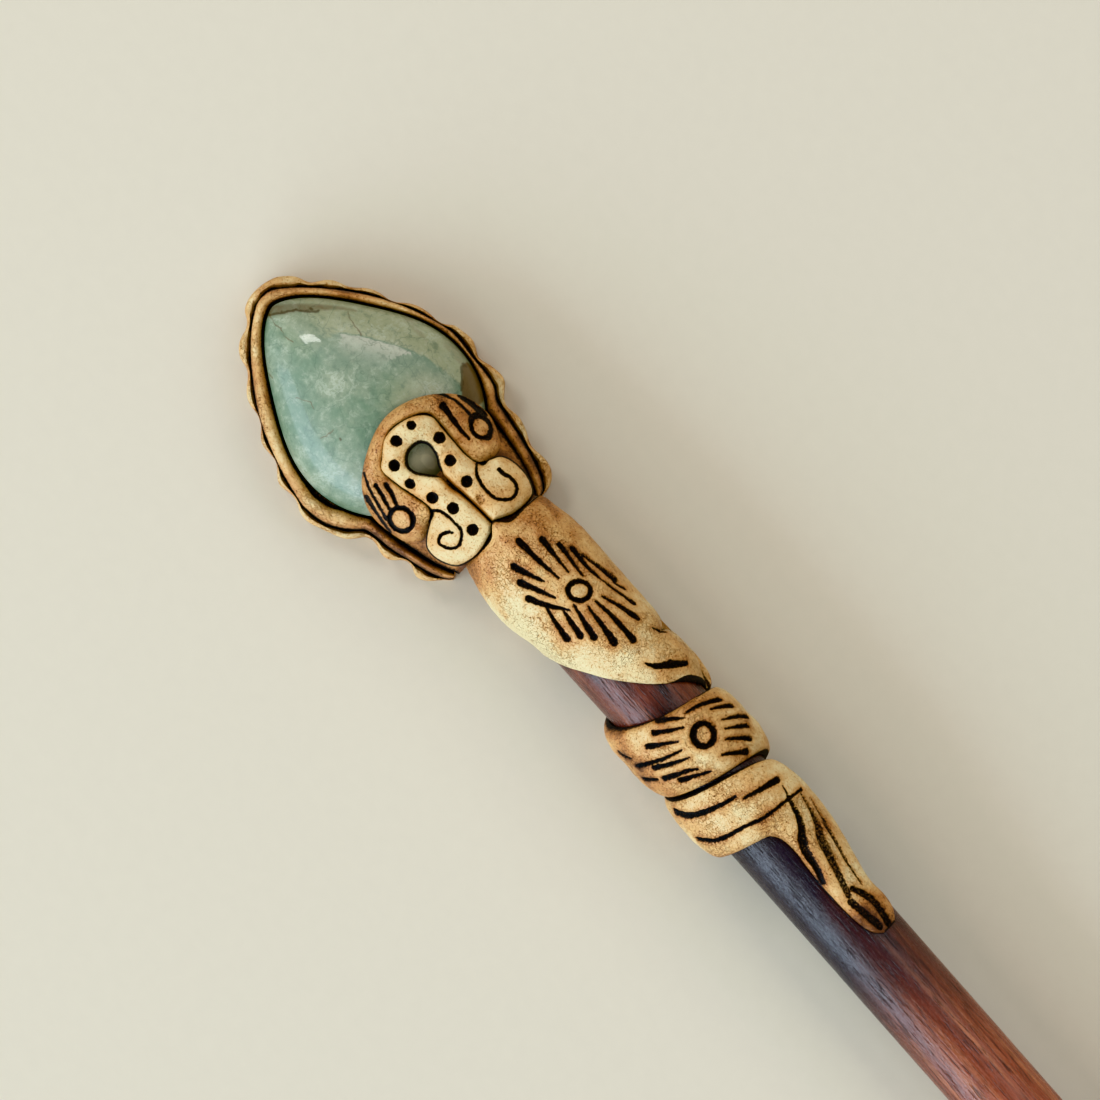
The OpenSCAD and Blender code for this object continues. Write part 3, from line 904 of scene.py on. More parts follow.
@dataclass
class Stone:
    """The pear-shaped cabochon."""

    plan: HeadPlan
    finish: StoneFinish = StoneFinish()
    bevel: float = 0.18
    # Patches in the stone. Columns: place along and across the stick, radius along and across it, strength.
    BROWNS = (
        (-15.5, 7.9, 2.2, 0.6, 0.4),
        (-20.5, 6.6, 3.0, 0.4, 0.35),
        # This patch, on the keyhole's tip side, is partly painted shade from the band's wall.
        (-11.0, -0.9, 0.9, 1.8, 0.15),
        (-30.6, -4.2, 0.6, 1.0, 0.45),
    )
    GREYS = (
        (-13.5, 2.0, 4.0, 3.5, 0.75),
        # This patch, in the keyhole, is partly painted light that lifts the stone out of the band's shade.
        (-10.0, -1.0, 3.4, 2.2, 1.0),
        (-27.5, -1.5, 3.0, 2.5, 0.4),
    )
    # Painted light on the stone in the keyhole, where the band's wall shades it, and in it a painted
    # highlight spot.
    KEYHOLE_LIGHT = (
        (-9.7, -1.3, 1.7, 1.8, 0.56),
        (-9.3, -1.05, 1.0, 0.7, 1.0),
    )
    # Brown bands. Columns: points of the middle line, half-width at its start and at its end, strength.
    BANDS = (
        (((-30.7, -3.0), (-29.4, -1.1), (-27.8, 0.8), (-26.4, 2.3), (-24.9, 3.5)), (0.6, 0.05), 0.62),
        (((-13.9, 7.9), (-12.8, 7.4), (-11.4, 6.6)), (0.3, 1.1), 1.2),
    )
    # The edge of a painted reflection: in front of it the stone gets a painted pale haze, beyond it a
    # painted olive-grey shade. Columns: place along the stick and across it.
    REFLECTION_EDGE = ((-24.9, -0.6), (-24.6, 0.6), (-23, 2), (-20, 4), (-17, 5.5), (-13.5, 6.1), (-9, 6.2))

    def patches(self, points: Array, table: Rows) -> Array:
        """How strong patches are at points.

        Args:
            points: Points in the stick's frame.
            table: The patches.

        Returns:
            The strength of the strongest patch at each point.
        """
        found = np.zeros(len(points))
        for x, y, wide, high, strength in table:
            off = np.hypot((points[:, 0] - x) / wide, (points[:, 1] - y) / high)
            found = np.maximum(found, strength * eased(1.4 - off))
        return found

    def build(self) -> Piece:
        """Stacks the rings of the dome on the upright edge.

        Returns:
            The piece.
        """
        sides, levels = fine(220), fine(56)
        angles = np.arange(sides) * 360 / sides
        foot = self.plan.plate + self.plan.gap
        inset = self.bevel / 20
        rings = [
            (0.9, foot), (1 - inset, foot), (1, foot + self.bevel), (1, foot + self.plan.girdle * 0.6)
        ]
        rings += [
            (share, foot + self.plan.girdle + float(self.plan.dome_height(np.array(share))))
            for share in np.cos(np.linspace(0, math.pi / 2, levels + 1))[:-1]
        ]
        loops = np.stack([
            self.plan.raised(self.plan.ring(angles, share), np.full(sides, height))
            for share, height in rings
        ])
        spots, shape = loops.reshape(-1, 3), loops.shape[:2]
        # The stain value holds the brown patches, and under 0 the painted light in the keyhole.
        brown = (self.browned(spots) - self.patches(spots, self.KEYHOLE_LIGHT)).reshape(shape)
        grey = self.grey_and_reflection(spots).reshape(shape)
        return Piece.lofted("pear_stone", "stone", Slot.STONE, loops, brown, grey)

    def browned(self, spots: Array) -> Array:
        """How brown the stone is.

        Args:
            spots: Points in the stick's frame.

        Returns:
            One value for each point.
        """
        brown = self.patches(spots, self.BROWNS)
        for points, (start, end), strength in self.BANDS:
            path = through(points, 4)
            off = distance(spots[:, :2], path, np.linspace(start, end, len(path)))
            brown = np.maximum(brown, strength * eased(0.6 - off / 0.5))
        return brown

    def grey_and_reflection(self, spots: Array) -> Array:
        """How grey the stone is, with a painted reflection on it.

        Args:
            spots: Points in the stick's frame.

        Returns:
            One value for each point: the grey patches, and beyond the reflection's edge a painted
                olive-grey shade; under 0 where the reflection's painted pale haze lies in front of that
                edge.
        """
        grey = self.patches(spots, self.GREYS)
        line = np.array(self.REFLECTION_EDGE)
        beyond = spots[:, 1] - np.interp(spots[:, 0], line[:, 0], line[:, 1])
        beyond = np.where(spots[:, 0] < line[0, 0], line[0, 0] - spots[:, 0], beyond)
        # The painted reflection: olive-grey shade beyond the edge, and a pale haze in front of it that
        # fades inwards, both fading out towards the stone's right side.
        edge, near = eased(beyond / 0.3 + 0.5), np.exp(np.minimum(beyond, 0) / 2.2)
        olive = (0.9 * edge - 0.8 * near * (1 - edge)) * eased((spots[:, 1] + 2.0) / 2.5)
        return np.where(grey > np.maximum(olive, 0), grey, olive)

    def dress(self) -> None:
        """Builds the stone and gives it its finish."""
        self.build().make(self.finish.build(), 35)


@dataclass
class RimStrand:
    """The rolled strand round the stone, which runs on along the head's two arms."""

    plan: HeadPlan
    wide: float = 1.5
    narrowest: float = 0.3
    # Columns: along, as a share of the stone's length; across, of its width; width, as a share of wide.
    ROUTE = (
        (0.618, 0.257, 0.35), (0.59, 0.29, 0.65), (0.526, 0.329, 0.7), (0.417, 0.37, 0.72),
        (0.3, 0.401, 0.8), (0.233, 0.42, 0.85), (0.188, 0.461, 0.85), (0.142, 0.486, 0.6),
        (0.067, 0.51, 0.25), (-0.03, 0.52, 0.45), (-0.091, 0.507, 0.7), (-0.213, 0.454, 0.9),
        (-0.336, 0.382, 0.95), (-0.46, 0.281, 0.95), (-0.57, 0.161, 1), (-0.643, 0.059, 1),
        (-0.657, 0.005, 1), (-0.647, -0.048, 1), (-0.581, -0.165, 1), (-0.473, -0.293, 1),
        (-0.341, -0.412, 1), (-0.187, -0.505, 0.85), (-0.032, -0.558, 0.95), (0.027, -0.561, 1),
        (0.087, -0.546, 1.1), (0.137, -0.513, 1.15), (0.179, -0.476, 1.05), (0.22, -0.442, 0.8),
        (0.272, -0.431, 0.65), (0.352, -0.421, 0.65), (0.433, -0.4, 0.6), (0.513, -0.377, 0.6),
        (0.575, -0.347, 0.55), (0.602, -0.324, 0.35),
    )
    # The flange's scalloped edge in the stick's frame, from the left arm round the stone to the right arm.
    EDGE = (
        (0.46, 4.72), (0.4, 5.62), (0.14, 6.45), (-0.31, 7.03), (-0.95, 7.47), (-1.72, 7.67),
        (-2.49, 7.67), (-3.26, 7.54), (-4.03, 7.54), (-4.67, 7.79), (-5.31, 8.12), (-6.08, 8.37),
        (-6.97, 8.5), (-7.74, 8.37), (-8.45, 8.31), (-9.03, 8.5), (-9.54, 8.88), (-9.99, 9.33),
        (-10.44, 9.78), (-11.08, 9.95), (-11.85, 9.87), (-12.62, 9.72), (-13.26, 9.49), (-13.9, 9.4),
        (-14.54, 9.65), (-15.05, 9.95), (-15.69, 10.1), (-16.46, 10.0), (-17.0, 9.88), (-17.75, 9.72),
        (-18.13, 9.44), (-18.5, 9.06), (-19.0, 8.8), (-19.63, 8.68), (-20.38, 8.63), (-21.13, 8.44),
        (-21.88, 8.13), (-22.5, 7.69), (-23.0, 7.19), (-23.38, 6.72), (-23.88, 6.52), (-24.5, 6.42),
        (-25.13, 6.28), (-25.75, 6.0), (-26.38, 5.56), (-26.88, 5.0), (-27.38, 4.5), (-28.0, 4.16),
        (-28.63, 3.92), (-29.13, 3.63), (-29.56, 3.13), (-29.88, 2.63), (-30.19, 2.0), (-30.75, 1.58),
        (-31.5, 1.31), (-32.0, 0.94), (-32.5, 0.38), (-32.94, -0.25), (-33.19, -1.0), (-33.35, -2.2),
        (-33.27, -3.38), (-32.94, -4.31), (-32.44, -4.94), (-31.81, -5.19), (-31.31, -5.63),
        (-31.0, -6.13), (-30.88, -6.69), (-30.56, -7.31), (-30.0, -7.88), (-29.5, -8.19), (-28.88, -8.35),
        (-28.25, -8.4), (-27.69, -8.69), (-27.25, -9.13), (-26.75, -9.69), (-26.19, -10.19),
        (-25.63, -10.48), (-24.88, -10.63), (-24.13, -10.6), (-23.44, -10.78), (-22.88, -11.15),
        (-22.44, -11.63), (-22.0, -12.06), (-21.38, -12.31), (-20.5, -12.31), (-19.63, -12.25),
        (-19.06, -12.5), (-18.56, -12.88), (-18.13, -13.31), (-17.63, -13.6), (-17.0, -13.62),
        (-16.33, -13.4), (-15.44, -13.33), (-14.79, -13.53), (-14.15, -13.85), (-13.38, -13.97),
        (-12.62, -13.85), (-11.85, -13.53), (-11.08, -13.21), (-10.31, -12.88), (-9.54, -12.5),
        (-9.03, -12.12), (-8.58, -11.54), (-8.19, -10.9), (-7.74, -10.51), (-7.1, -10.32), (-6.46, -10.38),
        (-5.82, -10.58), (-5.05, -10.51), (-4.54, -10.19), (-4.09, -9.68), (-3.64, -9.23), (-3.0, -9.1),
        (-2.42, -9.29), (-1.78, -9.49), (-1.08, -9.23), (-0.5, -8.72), (-0.12, -8.21), (0.33, -7.56),
        (0.85, -6.54),
    )

    def edges(self) -> tuple[Array, Array, Array]:
        """The lines that bound the strand and the flange.

        Returns:
            Inner edge of the strand, its outer edge and the flange's edge, in the head's plane.
        """
        rows = through(self.ROUTE, fine(22))
        line = self.plan.sized(rows[:, :2])
        ahead = np.gradient(line, axis=0)
        side = np.stack([-ahead[:, 1], ahead[:, 0]], axis=1) / np.linalg.norm(ahead, axis=1)[:, None]
        half = rows[:, 2:] * self.wide / 2
        inner = self.off_stone(line + half * side, self.plan.room)
        outer = self.off_stone(line - half * side, self.plan.room + self.narrowest)
        wide = self.flange_width(outer, -side)
        return inner, outer, outer - wide[:, None] * side

    def flange_width(self, start: Array, way: Array) -> Array:
        """How far it is from the strand out to the scalloped edge.

        Args:
            start: Points on the strand's outer edge.
            way: Directions out from them.

        Returns:
            The distances, smoothed a little.
        """
        path = self.plan.in_head(through(self.EDGE, 3))
        a, d = path[:-1][None], np.diff(path, axis=0)[None]
        gap = a - start[:, None]
        det = way[:, None, 0] * d[..., 1] - way[:, None, 1] * d[..., 0]
        least = 1e-9
        det = np.where(np.abs(det) < least, least, det)
        far = (gap[..., 0] * d[..., 1] - gap[..., 1] * d[..., 0]) / det
        on = (gap[..., 0] * way[:, None, 1] - gap[..., 1] * way[:, None, 0]) / det
        backward, forward = 0.5, 2.4
        met = (on >= 0) & (on <= 1) & (far > -backward) & (far < forward)
        found = np.where(met, far, np.inf).min(axis=1)
        spots = np.arange(len(found))
        known = np.isfinite(found)
        narrowest, widest = 0.12, 1.6
        wide = np.interp(spots, spots[known], np.clip(found[known], narrowest, widest))
        for _ in range(4):
            wide[1:-1] = (wide[:-2] + wide[1:-1] + wide[2:]) / 3
        return wide

    def off_stone(self, line: Array, room: float) -> Array:
        """Moves points out from the stone until they have room there.

        Args:
            line: Points in the head's plane.
            room: The room.

        Returns:
            The points.
        """
        middle = self.plan.middle()
        way = line - middle
        ahead = -way[:, 0] / (self.plan.round_share * self.plan.length)
        turn = np.degrees(np.arctan2(way[:, 1] / (0.5 * self.plan.width), ahead))
        edge = self.plan.ring(turn, 1, room)
        inside = np.linalg.norm(way, axis=1) < np.linalg.norm(edge - middle, axis=1)
        return np.where(inside[:, None], edge, line)

    def build(self) -> Piece:
        """Lofts a rounded section along the route.

        Returns:
            The piece.
        """
        inner, outer, _ = self.edges()
        over, under = fine(26), 4
        floor = self.plan.plate + self.plan.gap
        shares = (1 - np.cos(np.linspace(0, math.pi, over))) / 2
        power = 2.1
        swell = (1 - np.abs(2 * shares - 1) ** power) ** (1 / power)
        top = outer[:, None] + shares[None, :, None] * (inner - outer)[:, None]
        low = outer[:, None] + np.linspace(1, 0, under)[None, :, None] * (inner - outer)[:, None]
        height = floor + (self.plan.strand - self.plan.gap) * (0.3 + 0.7 * swell)
        heights = np.broadcast_to(height, top.shape[:2]).copy()
        spots = np.concatenate([top, heights[..., None]], axis=-1).reshape(-1, 3)
        uneven = lumps(spots, 2.6) * 0.14 + lumps(spots, 0.9, 5.0) * 0.05
        heights += uneven.reshape(heights.shape) * swell
        width = np.linalg.norm(inner - outer, axis=1)[:, None]
        from_edge = np.minimum(shares, 1 - shares)[None] * width
        stain = np.exp(-from_edge / 0.13)
        tone = 0.28 + 0.55 * np.exp(-from_edge / 0.28)
        tone = tone + 0.25 * lumps(spots, 4.0, 9.0).reshape(heights.shape)
        tone += 0.25 * eased((top[..., 0] - 3.5) / 4)
        below = self.plan.raised(low, np.full(low.shape[:2], floor))
        loops = np.concatenate([self.plan.raised(top, heights), below], axis=1)
        dark = np.ones(low.shape[:2])
        stain, tone = (np.concatenate([values, dark], axis=1) for values in (stain, tone))
        return Piece.lofted("rolled_strand", "rim_strand", Slot.CLAY, loops, stain, tone)


@dataclass
class BackPlate:
    """The plate behind the stone with its scalloped flange."""

    plan: HeadPlan
    rim: RimStrand
    # Roundings of the flange's edge, on top and at its foot.
    edge_round: float = 0.55
    foot_round: float = 0.45
    # Corners of the plate's end. Columns: along and across, as shares of the stone's length and width.
    END = ((0.594, -0.3), (0.594, 0.235))

    def rings(self) -> tuple[Array, Array, Array]:
        """Closed lines round the plate.

        Returns:
            The edge, the line under the strand's outer side and a line further in.
        """
        inner, outer, edge = self.rim.edges()
        corners = self.plan.sized(self.END)
        count = fine(80)
        share = np.linspace(0, 1, count + 2)[1:-1]

        def closed(line: Array, back: float) -> Array:
            """Closes a line with a stretch along the plate's end.

            Args:
                line: The line, from the left arm to the right one.
                back: How far the stretch lies from the plate's end.

            Returns:
                The closed line.
            """
            stops = np.vstack([line[-1:], corners - [back, 0], line[:1]])
            lengths = np.append(0, np.cumsum(np.linalg.norm(np.diff(stops, axis=0), axis=1)))
            ends = [np.interp(share, lengths / lengths[-1], stops[:, i]) for i in (0, 1)]
            return np.vstack([line, np.stack(ends, axis=1)])

        return closed(edge, 0.0), closed(outer, 0.35), closed(inner, 1.1)

    def cap(self, ring: Array, first: int, start: int) -> tuple[Array, list[list[int]]]:
        """Fills a closed line with triangles.

        Args:
            ring: The line, in the head's plane.
            first: Number of the line's first point in the mesh.
            start: Number that the first added point gets.

        Returns:
            The added points, and the triangles.
        """
        pitch = 1.3
        low, high = ring.min(0), ring.max(0)
        xs, ys = np.meshgrid(np.arange(low[0], high[0], pitch), np.arange(low[1], high[1], pitch))
        grid = np.stack([xs.ravel(), ys.ravel()], axis=1)
        loop = np.vstack([ring, ring[:1]])
        grid = grid[distance(grid, loop) > 0.5 * pitch]
        count = len(ring)
        around = [(i, (i + 1) % count) for i in range(count)]
        inside, merged = 1, 1e-6
        found = delaunay_2d_cdt([tuple(p) for p in np.vstack([ring, grid])], around, [], inside, merged)
        spots, triangles, origins = np.array([tuple(p) for p in found[0]]), found[2], found[3]
        numbers, added = {}, []
        for index, origin in enumerate(origins):
            if origin and min(origin) < count:
                numbers[index] = first + min(origin)
            else:
                numbers[index] = start + len(added)
                added.append(spots[index])
        return np.array(added).reshape(-1, 2), [[numbers[i] for i in t] for t in triangles]

    def build(self) -> Piece:
        """Stacks closed lines from the plate's back to its top.

        Returns:
            The piece.
        """
        edge, groove, inner = self.rings()
        height, under = self.plan.plate, 0.1
        width = np.linalg.norm(groove - edge, axis=1)
        spots = np.concatenate([edge, np.zeros((len(edge), 1))], axis=1)
        wave, uneven = lumps(spots, 2.2), 0.14 * lumps(spots, 1.1, 6.0)
        # Painted shade: the flange gets browner where it narrows into the hollows between its lobes.
        hollow_shade = 0.4 * eased((0.8 - width) / 0.6)
        loops, stains, tones = [], [], []

        def add(toward: Array, share: Array, level: Array, stain: float, tone: float) -> None:
            """Adds a line between the edge and one further in.

            Args:
                toward: The line further in.
                share: Share of the way to it.
                level: Height.
                stain: Dark stain.
                tone: How brown it is.
            """
            share = np.broadcast_to(share, len(edge))
            line = edge + share[:, None] * (toward - edge)
            loops.append(self.plan.raised(line, np.broadcast_to(level, len(edge)).astype(float)))
            stains.append(np.full(len(edge), stain))
            tones.append(tone + 0.2 * wave)

        add(inner, 1.0, 0.0, 0.0, 0.45)
        add(groove, 0.5, 0.0, 0.0, 0.45)
        for turn in np.radians(np.linspace(90, 0, 6)):
            add(groove, 0.3 * (1 - math.cos(turn)), self.foot_round * (1 - math.sin(turn)), 0.0, 0.5)
        for share in np.linspace(0.15, 0.85, 14):
            dent = 0.05 * math.sin(share * math.pi)
            add(groove, dent, share * (height - self.edge_round), 0.12, 0.62)
        for turn in np.radians(np.linspace(0, 90, fine(12))):
            share, rise = 0.5 * (1 - math.cos(turn)), math.sin(turn)
            level = height - self.edge_round + self.edge_round * rise + 0.1 * wave
            add(groove, share, level, 0.0, 0.42 - 0.16 * rise)
            tones[-1] = tones[-1] + hollow_shade
        for share in np.linspace(0.55, 1.0, fine(16)):
            off = (1 - share) * np.maximum(width, 0.2) + uneven
            dip = 0.7 * eased((0.46 - off) / 0.4)
            add(groove, share, height - dip + 0.1 * wave, 0.0, 0.3)
            # Painted shade deepens the brown towards the groove by the strand, whose dark joint is stained.
            tones[-1] = tones[-1] + hollow_shade + 0.5 * np.exp(-np.maximum(off - 0.2, 0) / 0.25)
            stains[-1] = eased((0.36 - off) / 0.24)
        add(inner, 0.9, height - 0.5, 1.0, 1.0)
        add(inner, 1.0, height - under, 1.0, 1.0)
        count = len(edge)
        stack = np.stack(loops)
        faces = loop_faces(len(loops), count)
        points, stain, tone = stack.reshape(-1, 3), np.concatenate(stains), np.concatenate(tones)
        for row, level in ((0, 0.0), (len(loops) - 1, height - under)):
            added, triangles = self.cap(inner, row * count, len(points))
            points = np.vstack([points, self.plan.raised(added, np.full(len(added), level))])
            stain = np.append(stain, np.zeros(len(added)))
            tone = np.append(tone, np.full(len(added), 0.45))
            faces += triangles
        return Piece("scalloped_plate", "back_plate", Slot.CLAY, points, faces, stain, tone)


@dataclass
class Bed:
    """The brown clay between the arms, which carries the hood and the band."""

    plan: HeadPlan
    # Where it starts and ends, as shares of the stone's length.
    start: float = 0.285
    end: float = 0.611

    def meets(self, share: float) -> float:
        """Where a lengthwise line of the bed's foot meets the room round the stone.

        Args:
            share: The line's place: 0 on the bed's right edge and 1 on its left one.

        Returns:
            The place along the head.
        """
        middle = self.plan.middle()
        place = 0.28 * self.plan.length
        for _ in range(4):
            right, left, _ = self.plan.bed_edges(np.array(place))
            y = float(right + (left - right) * share)
            off = (y - middle[1]) / (self.plan.width / 2 + self.plan.room)
            reach = self.plan.round_share * self.plan.length + self.plan.room
            place = middle[0] + reach * math.sqrt(max(0.0, 1 - off * off))
        return place

    def build(self) -> Piece:
        """Lofts the bed from its right side to its left side.

        Returns:
            The piece.
        """
        rows, cols, foot, under = fine(110), fine(80), 3, 6
        shares = (1 - np.cos(np.linspace(0, math.pi, rows))) / 2
        end = self.end * self.plan.length
        loops, stains, tones = [], [], []
        for share in shares:
            meets = self.meets(float(share))
            start = min(self.start * self.plan.length, meets - 0.3)
            x = np.concatenate([
                np.linspace(start, end, cols),
                np.linspace(end, meets, foot),
                np.linspace(meets, start, under)[1:],
            ])
            right, left, _ = self.plan.bed_edges(x)
            plan = np.stack([x, right + (left - right) * share], axis=-1)
            over = self.plan.over_stone(plan, self.plan.gap)
            height = np.maximum(self.plan.bed_back(plan), over + 0.12)
            height[cols:cols + foot] = self.plan.plate + self.plan.gap
            height[cols + foot:] = over[cols + foot:]
            loops.append(self.plan.raised(plan, height))
            side = min(share, 1 - share) * (left - right)
            slit = np.abs(plan[:, 1] - 0.1) + np.maximum(8.5 - x, 0)
            stains.append(np.maximum(0.9 * np.exp(-side / 0.35), 1.2 * np.exp(-slit / 0.6)))
            tones.append(0.7 + 0.3 * eased((x - 0.57 * self.plan.length) / 0.8))
        stack = np.stack(loops)
        spots = stack.reshape(-1, 3)
        uneven = (0.1 * lumps(spots, 1.8) + 0.05 * lumps(spots, 0.6)).reshape(stack.shape[:2])
        uneven[:, cols:] = 0
        stack[..., 2] += uneven
        tone = np.stack(tones) + uneven * 2
        return Piece.lofted("brown_bed", "bed", Slot.BROWN, stack, np.stack(stains), tone)


@dataclass
class Pad:
    """A clay pad between an outer and an inner edge, which lies on the stone and the bed."""

    plan: HeadPlan
    name: str
    node: str
    slot: Slot
    thick: float
    # How far the edges lie inside those of the table, and their roundings.
    outer_in: float = 0.0
    inner_in: float = 0.0
    outer_round: float = 0.5
    inner_round: float = 0.5
    # Share of the thickness that swells over a wider stretch than the roundings, and that stretch.
    crown: float = 0.35
    crown_run: float = 2.4
    steps: int = 24
    across: int = 54
    TABLE: ClassVar[Rows]
    MARKS: ClassVar[Sequence[Mark]]

    def tone(self, plan: Array, outer: Array, inner: Array, spots: Array) -> Array:
        """How brown the pad is."""
        raise NotImplementedError

    def edge_stain(self, plan: Array, outer: Array, inner: Array) -> Array:
        """Dark stain along the pad's edges."""
        raise NotImplementedError

    def build(self) -> Piece:
        """Lofts the pad, rounds its edges and presses its marks.

        Returns:
            The piece.
        """
        rows = self.plan.sized(through(self.TABLE, fine(self.steps)))
        way = rows[:, 2:] - rows[:, :2]
        way /= np.linalg.norm(way, axis=1)[:, None]
        outer, inner = rows[:, :2] + self.outer_in * way, rows[:, 2:] - self.inner_in * way
        over, under = fine(self.across), 8
        even = np.linspace(0, 1, over)
        shares = 0.45 * even + 0.55 * (1 - np.cos(math.pi * even)) / 2
        top = outer[:, None] + shares[None, :, None] * (inner - outer)[:, None]
        low = outer[:, None] + np.linspace(1, 0, under)[None, :, None] * (inner - outer)[:, None]
        plan = top.reshape(-1, 2)
        thin = max(1, fine(self.steps) // 8)
        outer_line, inner_line = (np.vstack([edge[::thin], edge[-1:]]) for edge in (outer, inner))
        ends = [np.array([outer[i], inner[i]]) for i in (0, -1)]
        from_outer = np.minimum.reduce([distance(plan, line) for line in (outer_line, *ends)])
        from_inner = distance(plan, inner_line)
        seat = self.seat(plan)
        rise = np.minimum(rounded(from_outer / self.outer_round), rounded(from_inner / self.inner_round))
        crown = rounded(np.minimum(from_outer, from_inner) / self.crown_run)
        swell = (1 - self.crown) * rise + self.crown * rise * crown
        stick = self.plan.in_stick(plan)
        spots = np.concatenate([stick, seat[:, None]], axis=1)
        depth, stain, halo = press(stick, self.MARKS)
        foot = 0.22
        height = seat + self.thick * (foot + (1 - foot) * swell) - depth
        height += (0.1 * lumps(spots, 2.4) + 0.04 * lumps(spots, 0.7, 3.0)) * swell
        height = np.maximum(height, self.plan.seat(plan) + 0.1)
        tone = self.tone(stick, from_outer, from_inner, spots) + 0.28 * halo
        stain = np.maximum(stain, self.edge_stain(stick, from_outer, from_inner))
        shape = top.shape[:2]
        loops = np.concatenate([
            self.plan.raised(top, height.reshape(shape)), self.plan.raised(low, self.plan.seat(low))
        ], axis=1)
        dark = np.ones(low.shape[:2])
        stains, tones = (np.concatenate([v.reshape(shape), dark], axis=1) for v in (stain, tone))
        return Piece.lofted(self.name, self.node, self.slot, loops, stains, tones)

    def seat(self, plan: Array) -> Array:
        """Height that the pad's top follows, softer than what it lies on.

        Args:
            plan: Points in the head's plane.

        Returns:
            The heights.
        """
        stone = self.plan.over_stone(plan, self.plan.gap)
        back = self.plan.bed_back(plan, 0.95) + self.plan.gap
        faded = stone + (back - stone) * eased((plan[..., 0] - 2.0) / 5.0)
        return np.maximum(softer_of(stone, faded, 0.5) - 0.1, self.plan.seat(plan))


@dataclass
class Hood(Pad):
    """The crescent over the stone's round end, with a petal at each end."""

    name: str = "petalled_hood"
    node: str = "hood"
    slot: Slot = Slot.CLAY
    thick: float = 1.7
    inner_in: float = -0.28
    outer_round: float = 1.3
    # Columns: outer edge along and across, inner edge along and across.
    TABLE = (
        (0.393, 0.239, 0.386, 0.2), (0.388, 0.278, 0.37, 0.172), (0.362, 0.321, 0.334, 0.158),
        (0.258, 0.373, 0.247, 0.163), (0.138, 0.343, 0.136, 0.178), (0.043, 0.219, 0.083, 0.155),
        (-0.004, 0.071, 0.046, 0.056), (0, -0.066, 0.038, -0.036), (0.058, -0.236, 0.08, -0.125),
        (0.131, -0.344, 0.127, -0.194), (0.226, -0.395, 0.209, -0.199), (0.35, -0.38, 0.316, -0.174),
        (0.396, -0.348, 0.352, -0.171), (0.418, -0.31, 0.381, -0.187), (0.416, -0.272, 0.4, -0.226),
    )
    MARKS = (
        Mark.ring(-8.4, 4.98, 1.12, 0.88, 0.2, -8),
        Mark(((-9.55, 5.5), (-9.7, 5.0), (-9.4, 4.6)), 0.3, 0.25),
        Mark(((-7.5, 5.35), (-7.15, 4.9), (-7.4, 4.6)), 0.24, 0.22),
        Mark.ring(-6.78, -6.75, 1.22, 1.07, 0.24, 10),
        Mark(((-12.15, 5.4), (-11.3, 5.65), (-10.4, 5.9), (-9.2, 6.0)), 0.16, 0.34),
        Mark(((-13.62, 4.05), (-12.5, 4.63), (-11.35, 4.92), (-10.1, 5.0)), 0.12, 0.14, 0.3),
        Mark(((-12.4, 3.6), (-11.12, 3.5), (-9.72, 3.35), (-8.3, 3.33)), 0.34, 0.12),
        Mark(((-10.3, -5.6), (-9.2, -5.8), (-8.21, -6.13)), 0.22, 0.16),
        Mark(((-10.85, -6.42), (-9.6, -6.65), (-8.33, -6.95)), 0.22, 0.16),
        Mark(((-12.51, -6.5), (-11, -7.1), (-9.3, -7.5), (-7.86, -7.84)), 0.1, 0.14, 0.3),
        Mark(((-10.71, -7.87), (-8.6, -8.2), (-6.58, -8.4)), 0.2, 0.1, 0.3),
    )

    def tone(self, plan: Array, outer: Array, inner: Array, spots: Array) -> Array:
        """How brown the hood is: more so on its left petal and towards its edges.

        Args:
            plan: The hood's points in the stick's frame.
            outer: Distance from the outer edge.
            inner: Distance from the inner edge.
            spots: The points in space.

        Returns:
            One value for each point.
        """
        left = eased((plan[:, 1] - 0.5) / 4.5)
        edges = 0.25 * np.exp(-outer / 0.6) + 0.2 * np.exp(-inner / 0.3)
        return 0.33 + 0.1 * left + edges + 0.15 * lumps(spots, 2.5)

    def edge_stain(self, plan: Array, outer: Array, inner: Array) -> Array:
        """Dark stain along the joint with the band, and a trace of it at the outer edge."""
        return np.maximum(eased((0.32 - inner) / 0.24), 0.35 * np.exp(-outer / 0.1))


